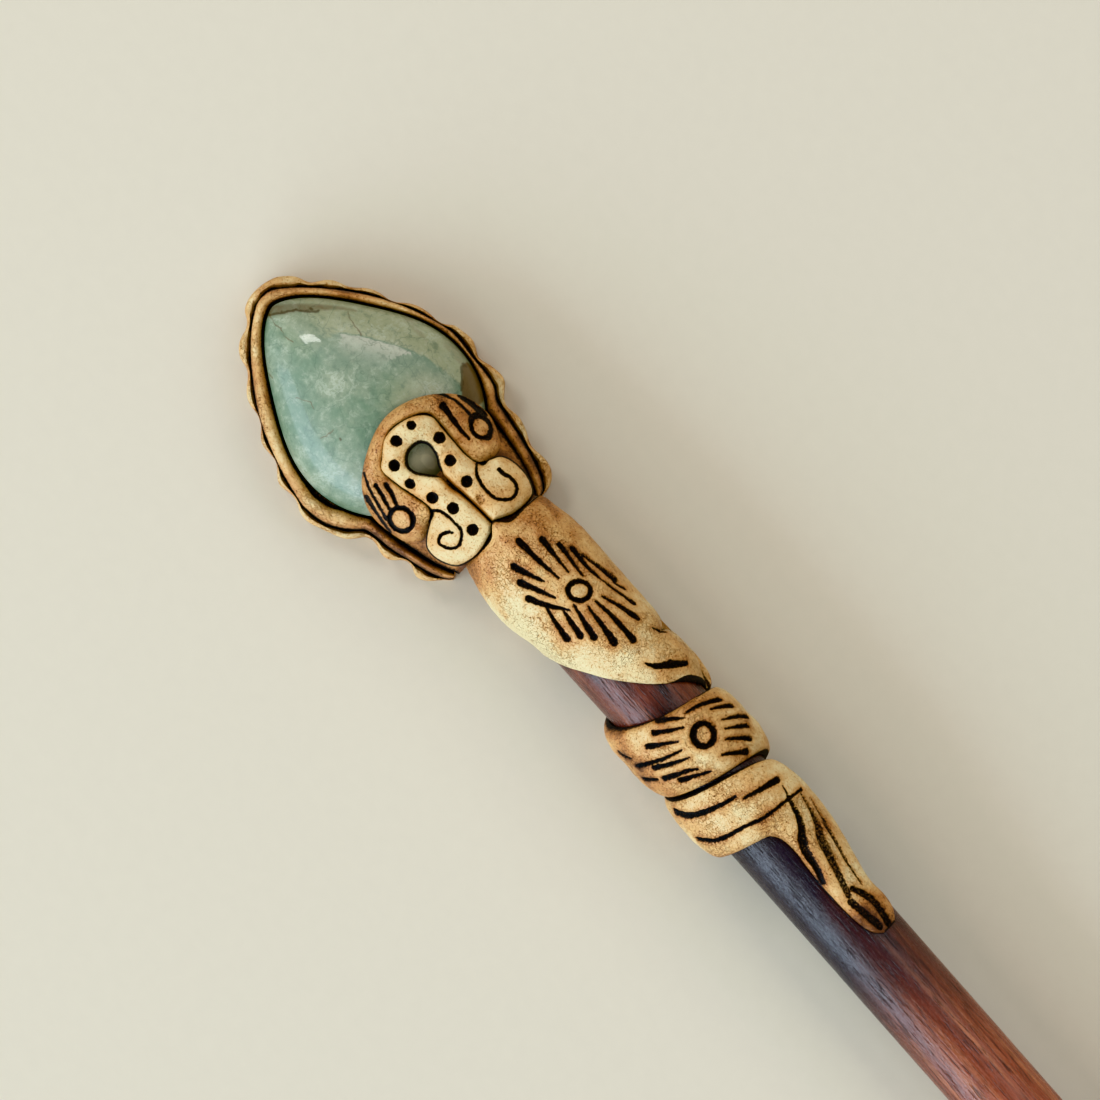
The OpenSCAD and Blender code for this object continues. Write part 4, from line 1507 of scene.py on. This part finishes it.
@dataclass
class KeyholeBand(Pad):
    """The pale band on top, with a keyhole window and a scroll at each end."""

    name: str = "keyhole_pad"
    node: str = "keyhole_band"
    slot: Slot = Slot.PALE
    thick: float = 2.1
    outer_in: float = -0.05
    # The middles of the keyhole and of the one shallow dot, in the stick's frame.
    HOLE = (-10.1, -1.35)
    SHALLOW = (-3.15, 0.33)
    # Columns as the hood's, from the left scroll round the window to the right scroll.
    TABLE = (
        (0.588, 0.055, 0.568, 0.007), (0.604, 0.108, 0.552, 0.007), (0.61, 0.185, 0.53, 0.007),
        (0.596, 0.25, 0.505, 0.007), (0.537, 0.288, 0.476, 0.007), (0.466, 0.292, 0.449, 0.007),
        (0.411, 0.268, 0.424, 0.006), (0.385, 0.21, 0.4, 0.005), (0.38, 0.17, 0.36, 0.001),
        (0.31, 0.152, 0.309, 0.002), (0.246, 0.158, 0.268, 0.012), (0.178, 0.165, 0.233, 0.04),
        (0.118, 0.17, 0.19, 0.052), (0.067, 0.112, 0.159, 0.035), (0.043, 0.018, 0.149, -0.006),
        (0.046, -0.076, 0.155, -0.049), (0.089, -0.152, 0.175, -0.078), (0.125, -0.2, 0.196, -0.088),
        (0.197, -0.196, 0.224, -0.08), (0.265, -0.18, 0.259, -0.05), (0.321, -0.167, 0.298, -0.02),
        (0.374, -0.167, 0.36, -0.019), (0.39, -0.205, 0.4, -0.009), (0.413, -0.258, 0.431, -0.006),
        (0.452, -0.313, 0.464, -0.004), (0.514, -0.319, 0.492, -0.003), (0.584, -0.277, 0.519, -0.004),
        (0.61, -0.197, 0.542, -0.005), (0.61, -0.118, 0.56, -0.006), (0.592, -0.03, 0.574, -0.006),
    )
    MARKS = (
        Mark((
            (-6.0, 2.3), (-5.19, 1.66), (-4.14, 1.35), (-2.98, 1.33), (-2.16, 1.55), (-1.55, 2.07),
            (-1.23, 2.65), (-1.29, 3.23), (-1.76, 3.76), (-2.28, 3.93), (-2.98, 3.87), (-3.5, 3.65),
            (-4.1, 3.6),
        ), 0.12, 0.19, 0.6),
        Mark((
            (-5.42, -3.95), (-4.95, -3.42), (-4.14, -3.16), (-3.21, -3.05), (-2.28, -3.02), (-1.64, -3.45),
            (-1.23, -4.09), (-1.29, -4.67), (-1.81, -5.26), (-2.51, -5.49), (-2.98, -5.14), (-3.03, -4.56),
            (-2.8, -4.09), (-2.5, -3.85),
        ), 0.13, 0.14, 0.6),
        Mark.dot(-12.92, 0.06, 0.42),
        Mark.dot(-12.74, -2.06),
        Mark.dot(-11.08, -3.74, 0.52),
        Mark.dot(-8.77, -3.8, 0.48),
        Mark.dot(-6.33, -3.07),
        Mark.dot(-4.23, -2.23),
        Mark.dot(-1.44, -2.2),
        Mark.dot(-10.22, 1.29),
        Mark.dot(-7.9, 0.62),
        Mark.dot(-5.33, 0.47, 0.54),
        Mark.dot(*SHALLOW, 0.5, 0.4, 0.5),
    )

    def tone(self, plan: Array, outer: Array, inner: Array, spots: Array) -> Array:
        """How brown the band is: pale, with brown along its edges and round one shallow dot.

        Args:
            plan: The band's points in the stick's frame.
            outer: Distance from the outer edge.
            inner: Distance from the inner edge.
            spots: The points in space.

        Returns:
            One value for each point.
        """
        off = np.hypot(plan[:, 0] - self.SHALLOW[0], plan[:, 1] - self.SHALLOW[1])
        shallow = np.exp(-off / 0.8)
        edge = 0.38 * np.exp(-np.minimum(outer, inner) / 0.3)
        left = eased((plan[:, 1] - 1.5) / 3.5)
        return 0.08 + edge + 0.5 * shallow + 0.14 * left + 0.12 * lumps(spots, 2.6, 4.0)

    def edge_stain(self, plan: Array, outer: Array, inner: Array) -> Array:
        """Dark stain along the band's edges, wider round the keyhole.

        Args:
            plan: The band's points in the stick's frame.
            outer: Distance from the outer edge.
            inner: Distance from the inner edge.

        Returns:
            One value for each point.
        """
        off = np.hypot(plan[:, 0] - self.HOLE[0], plan[:, 1] - self.HOLE[1])
        hole = eased((2.9 - off) / 0.6)
        wide, run = 0.07 + 0.48 * hole, 0.14 + 0.34 * hole
        return np.maximum(eased((0.3 - outer) / 0.24), eased((wide - inner) / run))


@dataclass
class Shaft:
    """The turned wooden stick with its tenon and its rounded tip."""

    # The clay's edges, laid flat, along which the wood is stained dark, partly as painted shade where the
    # clay meets it.
    edges: Sequence[Array]
    finish: WoodFinish = WoodFinish()
    axis: float = 6.2
    radius: float = 4.2
    tip: float = 1.2
    length: float = 147.0
    taper: float = 62.0
    # Where the bare wood starts.
    bare: float = 54.5
    # The tenon and the part under the clay. Columns: place along the stick, radius.
    BUTT = (
        (-TENON, 0.2), (-4.9, 1.9), (-4.7, 2), (0.6, 2), (0.62, 4.085), (6, 4.75), (40, 4.26), (54.5, 4.2),
    )
    # Columns: share of the taper's length, share of the way from the tip's radius to the shaft's.
    TAPER = ((0, 1), (0.3, 0.83), (0.55, 0.62), (0.8, 0.33), (1, 0))

    def profile(self) -> Array:
        """The stick's outline.

        Returns:
            Rows of a place along the stick and a radius.
        """
        tenon, rest = self.BUTT[:5], self.BUTT[4:]
        under = [np.linspace(row, after, 14)[1:] for row, after in zip(rest[:-1], rest[1:])]
        start, rows = self.length - self.taper, 24
        plain = np.stack([np.linspace(self.bare + 0.5, start, rows), np.full(rows, self.radius)], axis=1)
        run, fall = self.taper - self.tip, self.radius - self.tip
        points = [(start + place * run, self.tip + share * fall) for place, share in self.TAPER]
        taper = through(points, fine(14))
        turns = np.radians(np.linspace(6, 86, 12))
        ends = self.length - self.tip + self.tip * np.sin(turns)
        cap = np.stack([ends, self.tip * np.cos(turns)], axis=1)
        return np.vstack([tenon, *under, plain[:-1], taper, cap])

    def build(self) -> Piece:
        """Turns the outline round the axis, with faint flats and waves left by hand sanding.

        Returns:
            The piece.
        """
        rows = self.profile()
        sides = fine(120)
        turn = np.radians(np.arange(sides) * 360 / sides)
        x = np.broadcast_to(rows[:, :1], (len(rows), sides))
        r = np.broadcast_to(rows[:, 1:], (len(rows), sides))
        spots = np.stack([x, r * np.sin(turn), self.axis + r * np.cos(turn)], axis=-1).reshape(-1, 3)
        wave = lumps(spots * [0.12, 1, 1], 2.5) * 0.05
        r = r * (1 + (wave.reshape(r.shape) * np.where(x > self.bare, 1, 0)) / self.radius)
        ring = np.stack([x, r * np.sin(turn), self.axis + r * np.cos(turn)], axis=-1)
        laid = np.stack([x, np.broadcast_to(turn, x.shape) * UNROLLED], axis=-1).reshape(-1, 2)
        whole = 2 * math.pi * UNROLLED
        off = np.full(len(laid), np.inf)
        for edge in self.edges:
            for turns in range(-2, 4):
                off = np.minimum(off, distance(laid, edge - [0, turns * whole]))
        # Dark stain on the wood near the clay, partly painted shade at the joint.
        stain = 0.85 * np.exp(-np.maximum(off - 0.1, 0) / 0.32)
        side = np.sin(turn)[None] * 0.16
        near_coils, red_start, red_run = 30, 49, 26
        tone = eased((x - red_start) / red_run) * 0.8 + side + 0.12 * lumps(spots, 9.0).reshape(x.shape)
        tone = np.where(x < near_coils, 0.4, tone)
        return Piece.lofted("turned_stick", "stick", Slot.WOOD, ring, stain.reshape(x.shape), tone)

    def dress(self) -> None:
        """Builds the stick and gives it its finish."""
        self.build().make(self.finish.build(), 50)


def wood_radius(x: Array) -> Array:
    """Radius of the stick under the clay, with the gap that the clay keeps from it."""
    table = np.array(Shaft.BUTT[4:])
    return np.interp(x, table[:, 0], table[:, 1]) + HeadPlan.gap


def on_shaft(x: Array, turn: Array, radius: Array) -> Array:
    """Points round the stick's axis, with turns in degrees from the top to the left."""
    angle = np.radians(turn)
    return np.stack([x, radius * np.sin(angle), Shaft.axis + radius * np.cos(angle)], axis=-1)


def laid_on(turns: float, radii: Rows) -> Callable[[Array], Array]:
    """How a mark that is seen from above lies on the clay that is wound round the stick.

    Args:
        turns: Whole turns of the clay before the place of the mark.
        radii: Rows of a place along the stick and the clay's radius there.

    Returns:
        A function that lays the mark's points flat.
    """
    table = np.array(radii)

    def lay(path: Array) -> Array:
        """Lays points flat, once they are moved in by what the lens adds at their height.

        Args:
            path: Points of the mark.

        Returns:
            The points laid flat.
        """
        radius = np.interp(path[:, 0], table[:, 0], table[:, 1])
        rise = np.sqrt(np.maximum(radius**2 - path[:, 1] ** 2, 0))
        seen = EYE[:2] + (path - EYE[:2]) * (1 - rise / (EYE[2] - Shaft.axis))[:, None]
        angle = np.arcsin(np.clip(seen[:, 1] / radius, -0.999, 0.999)) + 2 * math.pi * turns
        return np.stack([seen[:, 0], angle * UNROLLED], axis=1)

    return lay


@dataclass
class Strip:
    """Clay that is laid round the stick, between a back and a front edge."""

    name: str
    node: str
    across: int

    def edges(self) -> tuple[Array, Array]:
        """Back and front edges as rows of a place and a turn in degrees."""
        raise NotImplementedError

    def surface(self, x: Array, turn: Array, row: Array) -> tuple[Array, Array, Array]:
        """The strip's outer surface."""
        raise NotImplementedError

    def build(self) -> Piece:
        """Lofts the strip from its first row to its last.

        Returns:
            The piece.
        """
        back, front = self.edges()
        over, under = fine(self.across), 4
        even = np.linspace(0, 1, over)
        shares = 0.6 * even + 0.4 * (1 - np.cos(math.pi * even)) / 2
        spots = front[:, None] + shares[None, :, None] * (back - front)[:, None]
        low = front[:, None] + np.linspace(1, 0, under)[None, :, None] * (back - front)[:, None]
        rows = np.broadcast_to(np.arange(len(back))[:, None], spots.shape[:2]).ravel()
        x, turn = spots[..., 0].ravel(), spots[..., 1].ravel()
        radius, stain, tone = self.surface(x, turn, rows)
        shape = spots.shape[:2]
        thinnest, lowest = 0.06, 0.01
        top = on_shaft(x, turn, np.maximum(radius, wood_radius(x) + thinnest)).reshape(*shape, 3)
        top[..., 2] = np.maximum(top[..., 2], lowest)
        below = on_shaft(low[..., 0], low[..., 1], wood_radius(low[..., 0]))
        loops = np.concatenate([top, below], axis=1)
        dark = np.ones(low.shape[:2])
        stains, tones = (np.concatenate([v.reshape(shape), dark], axis=1) for v in (stain, tone))
        return Piece.lofted(self.name, self.node, Slot.CLAY, loops, stains, tones)


def unrolled(rows: Array) -> Array:
    """Rows of a place and a turn in degrees, laid flat."""
    return np.stack([rows[:, 0], np.radians(rows[:, 1]) * UNROLLED], axis=1)


@dataclass
class Sleeve(Strip):
    """The clay sleeve below the head, with a sun pressed into it."""

    name: str = "clay_sleeve"
    node: str = "sleeve"
    across: int = 190
    start: float = 0.36
    radius: float = 5.95
    # Where the crease on the left lies along the stick.
    fold: float = 18.0
    # Front edge. Columns: turn in degrees, place along the stick.
    FRONT = (
        (-270, 17.48), (-225, 15.4), (-180, 14), (-130, 12.8), (-90, 12.48), (-50, 15.28), (-24, 18),
        (0, 20.28), (18, 21.68), (43, 23), (75, 24.48), (100, 25.28),
    )
    # Rounded end at the head. Columns: distance from the end, radius.
    BACK = (
        (0, 4.4), (0.14, 4.8), (0.5, 5.1), (1.2, 5.3), (2.2, 5.52), (3.4, 5.78), (5, 5.93), (7.6, 5.98),
        (30, 5.95),
    )
    # Slope down to the front edge. Columns: turn in degrees, how wide the slope is.
    SLOPE = ((-260, 2.2), (-180, 4), (-130, 6), (-60, 5.5), (10, 4.2), (60, 3.2), (100, 3))
    # The sun, a fine crack beside it, the end of the crease, a line near the front edge and a speck.
    MARKS = (
        Mark.ring(9.86, 1.64, 1.13, 0.95, 0.24, 48),
        Mark(((6.41, 3.88), (8.66, 3.79), (10.7, 4.05)), 0.34),
        Mark(((11.2, 5.0), (9.7, 4.74), (7.3, 4.18)), 0.52, 0.14, 0.45, 0.8),
        Mark(((11.5, 4.75), (12.0, 4.9), (12.6, 5.12)), 0.14, 0.2, 0.3),
        Mark(((5.2, 3.19), (7.2, 3.0), (9.0, 2.88))),
        Mark(((3.74, 2.33), (5.6, 2.15), (7.8, 2.07)), 0.36),
        Mark(((2.36, 0.47), (5, 0.6), (7.6, 0.98)), 0.38),
        Mark(((3.9, -1.64), (5.4, -1.05), (6.9, -0.34)), 0.4),
        Mark(((5.5, -2.16), (7.1, -1.4), (8.8, -0.6)), 0.38),
        Mark(((7.2, -2.59), (8.8, -1.72), (10.7, -0.34)), 0.38),
        Mark(((14.3, 4.85), (12.6, 4.45), (10.9, 4.1))),
        Mark(((15.6, 4.14), (13.6, 3.6), (11.7, 2.98)), 0.34),
        Mark(((16.9, 2.47), (13.6, 2.4), (11.7, 2.19)), 0.36),
        Mark(((15.9, 0.86), (13.7, 1.1), (11.5, 1.29)), 0.38),
        Mark(((14.2, -0.29), (12.4, 0.0), (10.55, 0.34)), 0.36),
        Mark(((13.2, -1.2), (11.6, -1.0), (10, -0.74)), 0.36),
        Mark(((12.6, -2.41), (10.8, -2.2), (8.9, -1.9)), 0.38),
        Mark((
            (7.45, -3.0), (7.45, -3.6), (8.3, -3.9), (9.0, -3.45), (9.3, -3.1), (10.2, -3.3),
        ), 0.04, 0.02, 0.15, 0.7),
        Mark(((17.3, 4.6), (17.9, 5.0), (18.4, 5.55)), 0.1, 0.2, 0.35),
        Mark(((22.1, 5.26), (21.7, 4.7), (21.1, 3.9)), 0.2, 0.4, 0.5),
        Mark(((21.1, 3.9), (20.4, 2.7), (19.5, 1.98)), 0.4, 0.1, 0.5),
        Mark.dot(2.9, 5.1, 0.12, 0.2, 0.7),
    )

    def edges(self) -> tuple[Array, Array]:
        """The sleeve's edges.

        Returns:
            Back and front edges as rows of a place and a turn in degrees.
        """
        rows = through(self.FRONT, 6)
        turn = np.linspace(-260, 100, fine(320))
        front = np.stack([np.interp(turn, rows[:, 0], rows[:, 1]), turn], axis=1)
        return np.stack([self.head_end(turn), turn], axis=1), front

    def head_end(self, turn: Array) -> Array:
        """Where the sleeve starts: on top it runs into the notch between the scrolls.

        Args:
            turn: Turns in degrees.

        Returns:
            Places along the stick.
        """
        left = eased((turn - 15) / 30) * eased((130 - turn) / 30)
        notch = np.exp(-(((turn + 3) / 10) ** 2))
        return self.start - 1.1 * notch - 0.16 * left + 0.25 * np.exp(-(((turn + 45) / 25) ** 2))

    def surface(self, x: Array, turn: Array, row: Array) -> tuple[Array, Array, Array]:
        """The sleeve's outer surface, with a crease where it folds over at the front.

        Args:
            x: Places of points along the stick.
            turn: Their turns in degrees.
            row: Numbers of the sleeve's rows that they are in.

        Returns:
            Outer radius, stain and tone at the points.
        """
        laid = unrolled(np.stack([x, turn], axis=1))
        off = distance(laid, unrolled(self.edges()[1][::3]))
        back = through(self.BACK, 4)
        in_from_end = x - self.head_end(turn)
        outer, wood = np.interp(in_from_end, back[:, 0], back[:, 1]), wood_radius(x)
        slope = np.array(self.SLOPE)
        run = np.interp(turn, slope[:, 0], slope[:, 1])
        thick = 0.26 * rounded(off / 0.35) + 0.74 * eased(off / run)
        from_fold = np.abs(x - self.fold)
        crease = eased((turn - 44) / 40) * (1 - rounded(from_fold / 1.9))
        spots = on_shaft(x, turn, outer)
        depth, stain, halo = press(laid, self.MARKS, laid_on(0, ((0, self.radius), (30, self.radius))))
        radius = wood + (outer - wood) * thick * (1 - 0.8 * crease) - depth
        radius += (0.08 * lumps(spots, 3.2) + 0.05 * lumps(spots, 0.9, 2.0)) * rounded(off / 0.8)
        # Brown at the head and on the back. Browner on the left, partly as painted shade on the side turned
        # from the strongest light, and pale on the right, partly as painted light on the low side that
        # faces it.
        head = eased((8.5 - x) / 8.5)
        left = eased((turn + 15) / 100)
        low = eased((-10 - turn) / 50) * eased((turn + 130) / 50)
        tone = 0.18 + 0.42 * head * (0.75 + 0.25 * left) + 0.15 * left - 0.28 * low * eased((x - 2) / 5)
        tone -= 0.08 * eased((x - 13) / 4)
        tone += 0.2 * low * eased((6 - x) / 4)
        tone += 0.12 * eased((x - 19) / 5) + 0.4 * halo + 0.16 * lumps(spots, 3.4, 7.0)
        tone += 0.2 * eased((-0.1 - np.cos(np.radians(turn))) / 0.4)
        front_reach = 0.12 + 0.6 * eased((turn - 26) / 32) * eased((100 - turn) / 20)
        edge = np.maximum(eased((front_reach - off) / 0.2), eased((0.28 - in_from_end) / 0.24))
        stain = np.maximum.reduce([stain, edge, crease * eased((0.6 - from_fold) / 0.5)])
        return radius, stain, tone


@dataclass
class Wrap(Strip):
    """The strip that leaves the sleeve, winds round the stick twice and runs out in a leaf-like tail."""

    name: str = "clay_wrap"
    node: str = "coil_tail"
    across: int = 70
    coil: float = 6.2
    tail: float = 4.95
    # Columns: turn of the back edge and its place along the stick, turn of the front edge and its place,
    # share of the way from the coil's radius to the tail's.
    COURSE = (
        (100, 17.9, 100, 25.28, 0), (135, 18.56, 135, 26.4, 0), (180, 19.6, 180, 27.6, 0),
        (225, 20.52, 225, 29, 0), (270, 21.6, 270, 30.32, 0), (315, 23, 315, 31.4, 0),
        (360, 24.28, 360, 32.32, 0), (405, 25.0, 405, 33, 0), (450, 25.65, 450, 33.8, 0),
        (495, 26.75, 495, 34.88, 0), (540, 27.8, 540, 36, 0), (585, 29.2, 585, 37.28, 0),
        (630, 30.5, 630, 38.32, 0), (675, 31.58, 675, 39, 0), (700, 32.12, 700, 39.4, 0),
        (735, 32.85, 715, 39.71, 0), (765, 33.6, 719, 40, 0.05), (792, 34.7, 722, 40.29, 0.12),
        (812, 37.1, 726, 41.01, 0.2), (822, 40, 728, 42.47, 0.3), (818, 42.9, 726, 44.64, 0.45),
        (803, 45.22, 724.5, 46.67, 0.6), (789, 47.54, 725, 48.7, 0.72), (782, 49.57, 726, 50.44, 0.8),
        (786, 51.6, 728, 51.89, 0.88), (781, 53.2, 734, 53.34, 0.94), (768, 54.21, 745, 54.21, 1),
    )
    # Radius of the tail's surface. Columns: place along the stick, radius.
    TAIL_RADII = ((34, 6.1), (41, 5.95), (47, 5.5), (55, 4.95))
    # The sun on the first turn.
    COIL_MARKS = (
        Mark.ring(28.45, 1.45, 1.14, 1.03, 0.29, -41),
        Mark.dot(28.45, 1.45, 0.6, 0.1, 0.4),
        Mark(((26.9, 5.05), (26.1, 3.45), (25.7, 1.64)), 0.28),
        Mark(((28.1, 5.4), (27.5, 4.6), (27, 3.7)), 0.28),
        Mark(((29.9, 5.84), (29.2, 5.0), (28.5, 3.8)), 0.28),
        Mark(((30.6, 5.27), (30.0, 4.4), (29.4, 3.45)), 0.26),
        Mark(((31.7, 4.7), (30.9, 3.8), (30.2, 2.77)), 0.28),
        Mark(((32.5, 3.8), (31.8, 2.7), (31.1, 1.5)), 0.3),
        Mark(((24.5, -1.1), (25.2, 0.1), (26, 1.2)), 0.3),
        Mark(((25.1, -2.2), (25.9, -0.9), (26.6, 0.4)), 0.28),
        Mark(((25.7, -3.5), (26.5, -2.2), (27.3, -0.86)), 0.3),
        Mark(((26.5, -5.5), (27.5, -3.4), (28.2, -1.2)), 0.28),
        Mark(((27.7, -4.4), (28.5, -2.8), (29.2, -1.1)), 0.3),
        Mark(((29.1, -4.3), (30, -2.2), (30.6, -1.2)), 0.3),
        Mark(((30.3, -3.25), (31.0, -1.8), (31.6, -0.4)), 0.3),
        Mark(((24.3, -6.0), (24.9, -5.8), (25.5, -5.4)), 0.26),
        Mark(((27.8, -5.9), (28.3, -5.4), (28.75, -4.8)), 0.26),
    )
    # Lines on the second turn, and the strokes that run down the tail.
    TAIL_MARKS = (
        Mark(((32.3, -5.75), (33.6, -4.7), (34.3, -3.1), (34.8, -1.5), (35, -0.2)), 0.38, 0.12, 0.4),
        Mark(((36.5, 4), (36.1, 1.9), (35.7, 0.27)), 0.34, 0.12),
        Mark((
            (35.7, -5.6), (36.8, -4.7), (37.4, -3.4), (37.8, -1.5), (38.4, 0.5), (38.6, 3), (38.75, 5.2),
        ), 0.26, 0.12),
        Mark(((37.3, 3.95), (38.9, 3.55)), 0.06, 0.06, 0.2),
        Mark(((38.4, 3.7), (39.4, 3.45), (40.5, 3.2), (41.6, 2.66), (42.5, 2.0)), 0.2, 0.5, 0.5, 0.8),
        Mark(((42.5, 2.0), (43.3, 1.6), (44.3, 1.35), (45.7, 1.15), (47, 0.7)), 0.5, 0.3, 0.5, 0.8),
        Mark(((39.0, 4.86), (40.9, 4.6), (42.4, 4.1), (43.8, 3.4)), 0.14, 0.62, 0.45, 0.7),
        Mark(((43.8, 3.4), (45.4, 2.95), (47.3, 2.4), (49.6, 1.75)), 0.62, 0.36, 0.4, 0.7),
        Mark(((40.0, 5.35), (41.8, 5.05), (43.2, 4.7)), 0.08, 0.36, 0.4, 0.7),
        Mark(((43.2, 4.7), (45.3, 4.2), (47.3, 3.8), (49.6, 3.5)), 0.36, 0.08, 0.35, 0.7),
        Mark(((49.4, 2.5), (50.5, 3.0), (52.0, 3.25), (54.0, 2.95)), 0.36, 0.58, 0.5, 0.76),
        Mark(((50.3, 1.5), (51.8, 1.75), (53.8, 2.05)), 0.42, 0.5, 0.4, 0.76),
    )

    def course(self) -> Array:
        """The table with the rows in between."""
        return through(self.COURSE, fine(28))

    def edges(self) -> tuple[Array, Array]:
        """Back and front edges as rows of a place and a turn in degrees."""
        rows = self.course()
        return rows[:, [1, 0]], rows[:, [3, 2]]

    def surface(self, x: Array, turn: Array, row: Array) -> tuple[Array, Array, Array]:
        """The wrap's outer surface, which gets lower along the tail.

        Args:
            x: Places of points along the stick.
            turn: Their turns in degrees.
            row: Numbers of the course's rows that they are in.

        Returns:
            Outer radius, stain and tone at the points.
        """
        back, front = (unrolled(edge[::3]) for edge in self.edges())
        last = unrolled(np.stack([edge[-1] for edge in self.edges()]))
        laid = unrolled(np.stack([x, turn], axis=1))
        off_back = np.minimum(distance(laid, back), distance(laid, last))
        off_front = distance(laid, front)
        off = np.minimum(off_back, off_front)
        down = self.course()[:, 4][row]
        outer, wood = self.coil + (self.tail - self.coil) * down, wood_radius(x)
        run = 3.0 - 1.6 * down
        thick = 0.35 * rounded(off / 0.3) + 0.65 * rounded(off / run)
        spots = on_shaft(x, turn, outer)
        pressed = [
            press(laid, self.COIL_MARKS, laid_on(1, ((0, self.coil), (60, self.coil)))),
            press(laid, self.TAIL_MARKS, laid_on(2, self.TAIL_RADII)),
        ]
        depth, stain, halo = (np.maximum(a, b) for a, b in zip(*pressed))
        radius = wood + (outer - wood) * thick - depth * np.where(down > 0.5, 0.8, 1)
        uneven = 0.12 * lumps(spots, 2.8) + 0.05 * lumps(spots, 0.8, 2.0)
        radius += uneven * rounded(off / 0.8) * (1 - 0.6 * down)
        # Browner along the edges, on the first turn's right side, at the tail's end, partly as painted
        # shade in the hollow between its last strokes, and on the back.
        right = eased((-np.sin(np.radians(turn)) - 0.5) / 0.4) * np.where(turn < 400, 0.4, 0.1)
        tone = 0.15 + 0.35 * np.exp(-off / 0.5) + 0.5 * halo + 0.18 * lumps(spots, 2.6, 7.0) + right
        # Partly painted shade in the hollow at the tail's end.
        tone += 0.4 * eased((x - 49.5) / 2.5)
        tone += np.where(np.cos(np.radians(turn)) < -0.2, 0.2, 0)
        back_reach = np.where(turn < 400, 0.18, 0.32)
        front_reach = np.where(turn < 500, 0.22, 0.12)
        reach = np.where(off_back < off_front, back_reach, front_reach)
        return radius, np.maximum(stain, eased((reach - off) / 0.2)), tone


@dataclass(frozen=True)
class Lamp:
    """A soft lamp that faces the head.

    It stands side degrees from the picture's right, anticlockwise, away from the head over the floor and up
    over it. Its power is in watts.
    """

    name: str
    side: float
    away: float
    up: float
    size: tuple[float, float]
    power: float
    colour: Colour

    def hang(self, turn: float) -> None:
        """Hangs the lamp.

        Args:
            turn: Degrees by which the picture is turned against the stick.
        """
        light = bpy.data.lights.new(self.name, "AREA")
        light.shape = "RECTANGLE"
        light.size, light.size_y = self.size[0] * MM, self.size[1] * MM
        light.energy = self.power
        light.color = self.colour
        made = bpy.data.objects.new(self.name, light)
        angle = math.radians(turn + self.side)
        head_height = 5.0
        target = np.array([*EYE[:2], head_height])
        spot = target + [self.away * math.cos(angle), self.away * math.sin(angle), self.up]
        made.location = placed(spot)
        made.rotation_euler = (math.atan2(self.away, self.up), 0, angle + math.pi / 2)
        made.visible_camera = False
        bpy.context.scene.collection.objects.link(made)


@dataclass
class Studio:
    """The floor, the light and the camera."""

    turn: float = 48.6
    lens: float = 150.0
    floor: FloorFinish = FloorFinish()
    floor_half: float = 4000.0
    LAMPS = (
        Lamp("upper_light", 45, 820, 910, (2400, 780), 8.2, (1.0, 0.98, 0.95)),
        Lamp("lower_light", 222, 820, 910, (2400, 780), 6.8, (1.0, 0.98, 0.95)),
        Lamp("side_window", 222, 950, 380, (1700, 480), 14.5, (0.68, 0.84, 1.0)),
        Lamp("small_window", 131, 732, 758, (400, 60), 2.4, (1.0, 0.99, 0.96)),
    )

    def lay_floor(self) -> None:
        """Lays the floor."""
        half = self.floor_half * MM
        mesh = bpy.data.meshes.new("floor")
        corners = [(-half, -half, 0), (half, -half, 0), (half, half, 0), (-half, half, 0)]
        mesh.from_pydata(corners, [], [(0, 1, 2, 3)])
        mesh.materials.append(self.floor.build())
        made = bpy.data.objects.new("floor", mesh)
        bpy.context.scene.collection.objects.link(made)

    def aim(self) -> None:
        """Puts the camera straight above the head, turned as the photograph is."""
        camera = bpy.data.objects.new("camera", bpy.data.cameras.new("camera"))
        camera.data.lens = self.lens
        camera.data.sensor_width = 36
        camera.data.clip_start, camera.data.clip_end = 0.01, 20
        camera.location = placed(np.array(EYE))
        camera.rotation_euler = (0, 0, math.radians(self.turn))
        bpy.context.scene.collection.objects.link(camera)
        bpy.context.scene.camera = camera

    def build(self) -> None:
        """Sets up the floor, the light and the camera."""
        self.lay_floor()
        self.aim()
        for lamp in self.LAMPS:
            lamp.hang(self.turn)
        bpy.context.scene.view_settings.view_transform = "Khronos PBR Neutral"
        world = bpy.data.worlds.new("room")
        world.use_nodes = True
        air = world.node_tree.nodes["Background"].inputs
        air["Color"].default_value = (0.9, 0.9, 0.88, 1)
        air["Strength"].default_value = 0.3
        bpy.context.scene.world = world


def main() -> None:
    """Builds the hair stick piece by piece, noting each piece's faces, and sets up the studio."""
    logging.basicConfig(level=logging.INFO, format="%(message)s")
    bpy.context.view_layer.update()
    plan = HeadPlan()
    clay = ClayFinish("antiqued_clay").build()
    pale = ClayFinish("pale_clay", tone_shift=-0.05, leather=0.3).build()
    brown = ClayFinish("brown_clay", tone_shift=0.12, roughness=0.4).build()
    sleeve, wrap = Sleeve(), Wrap()
    rim = RimStrand(plan)
    Stone(plan).dress()
    rim.build().make(clay)
    BackPlate(plan, rim).build().make(clay)
    Bed(plan).build().make(brown)
    Hood(plan).build().make(clay)
    KeyholeBand(plan).build().make(pale)
    sleeve.build().make(clay)
    wrap.build().make(clay)
    Shaft([unrolled(edge[::6]) for edge in (sleeve.edges()[1], *wrap.edges())]).dress()
    Studio().build()


if __name__ == "__main__":
    main()
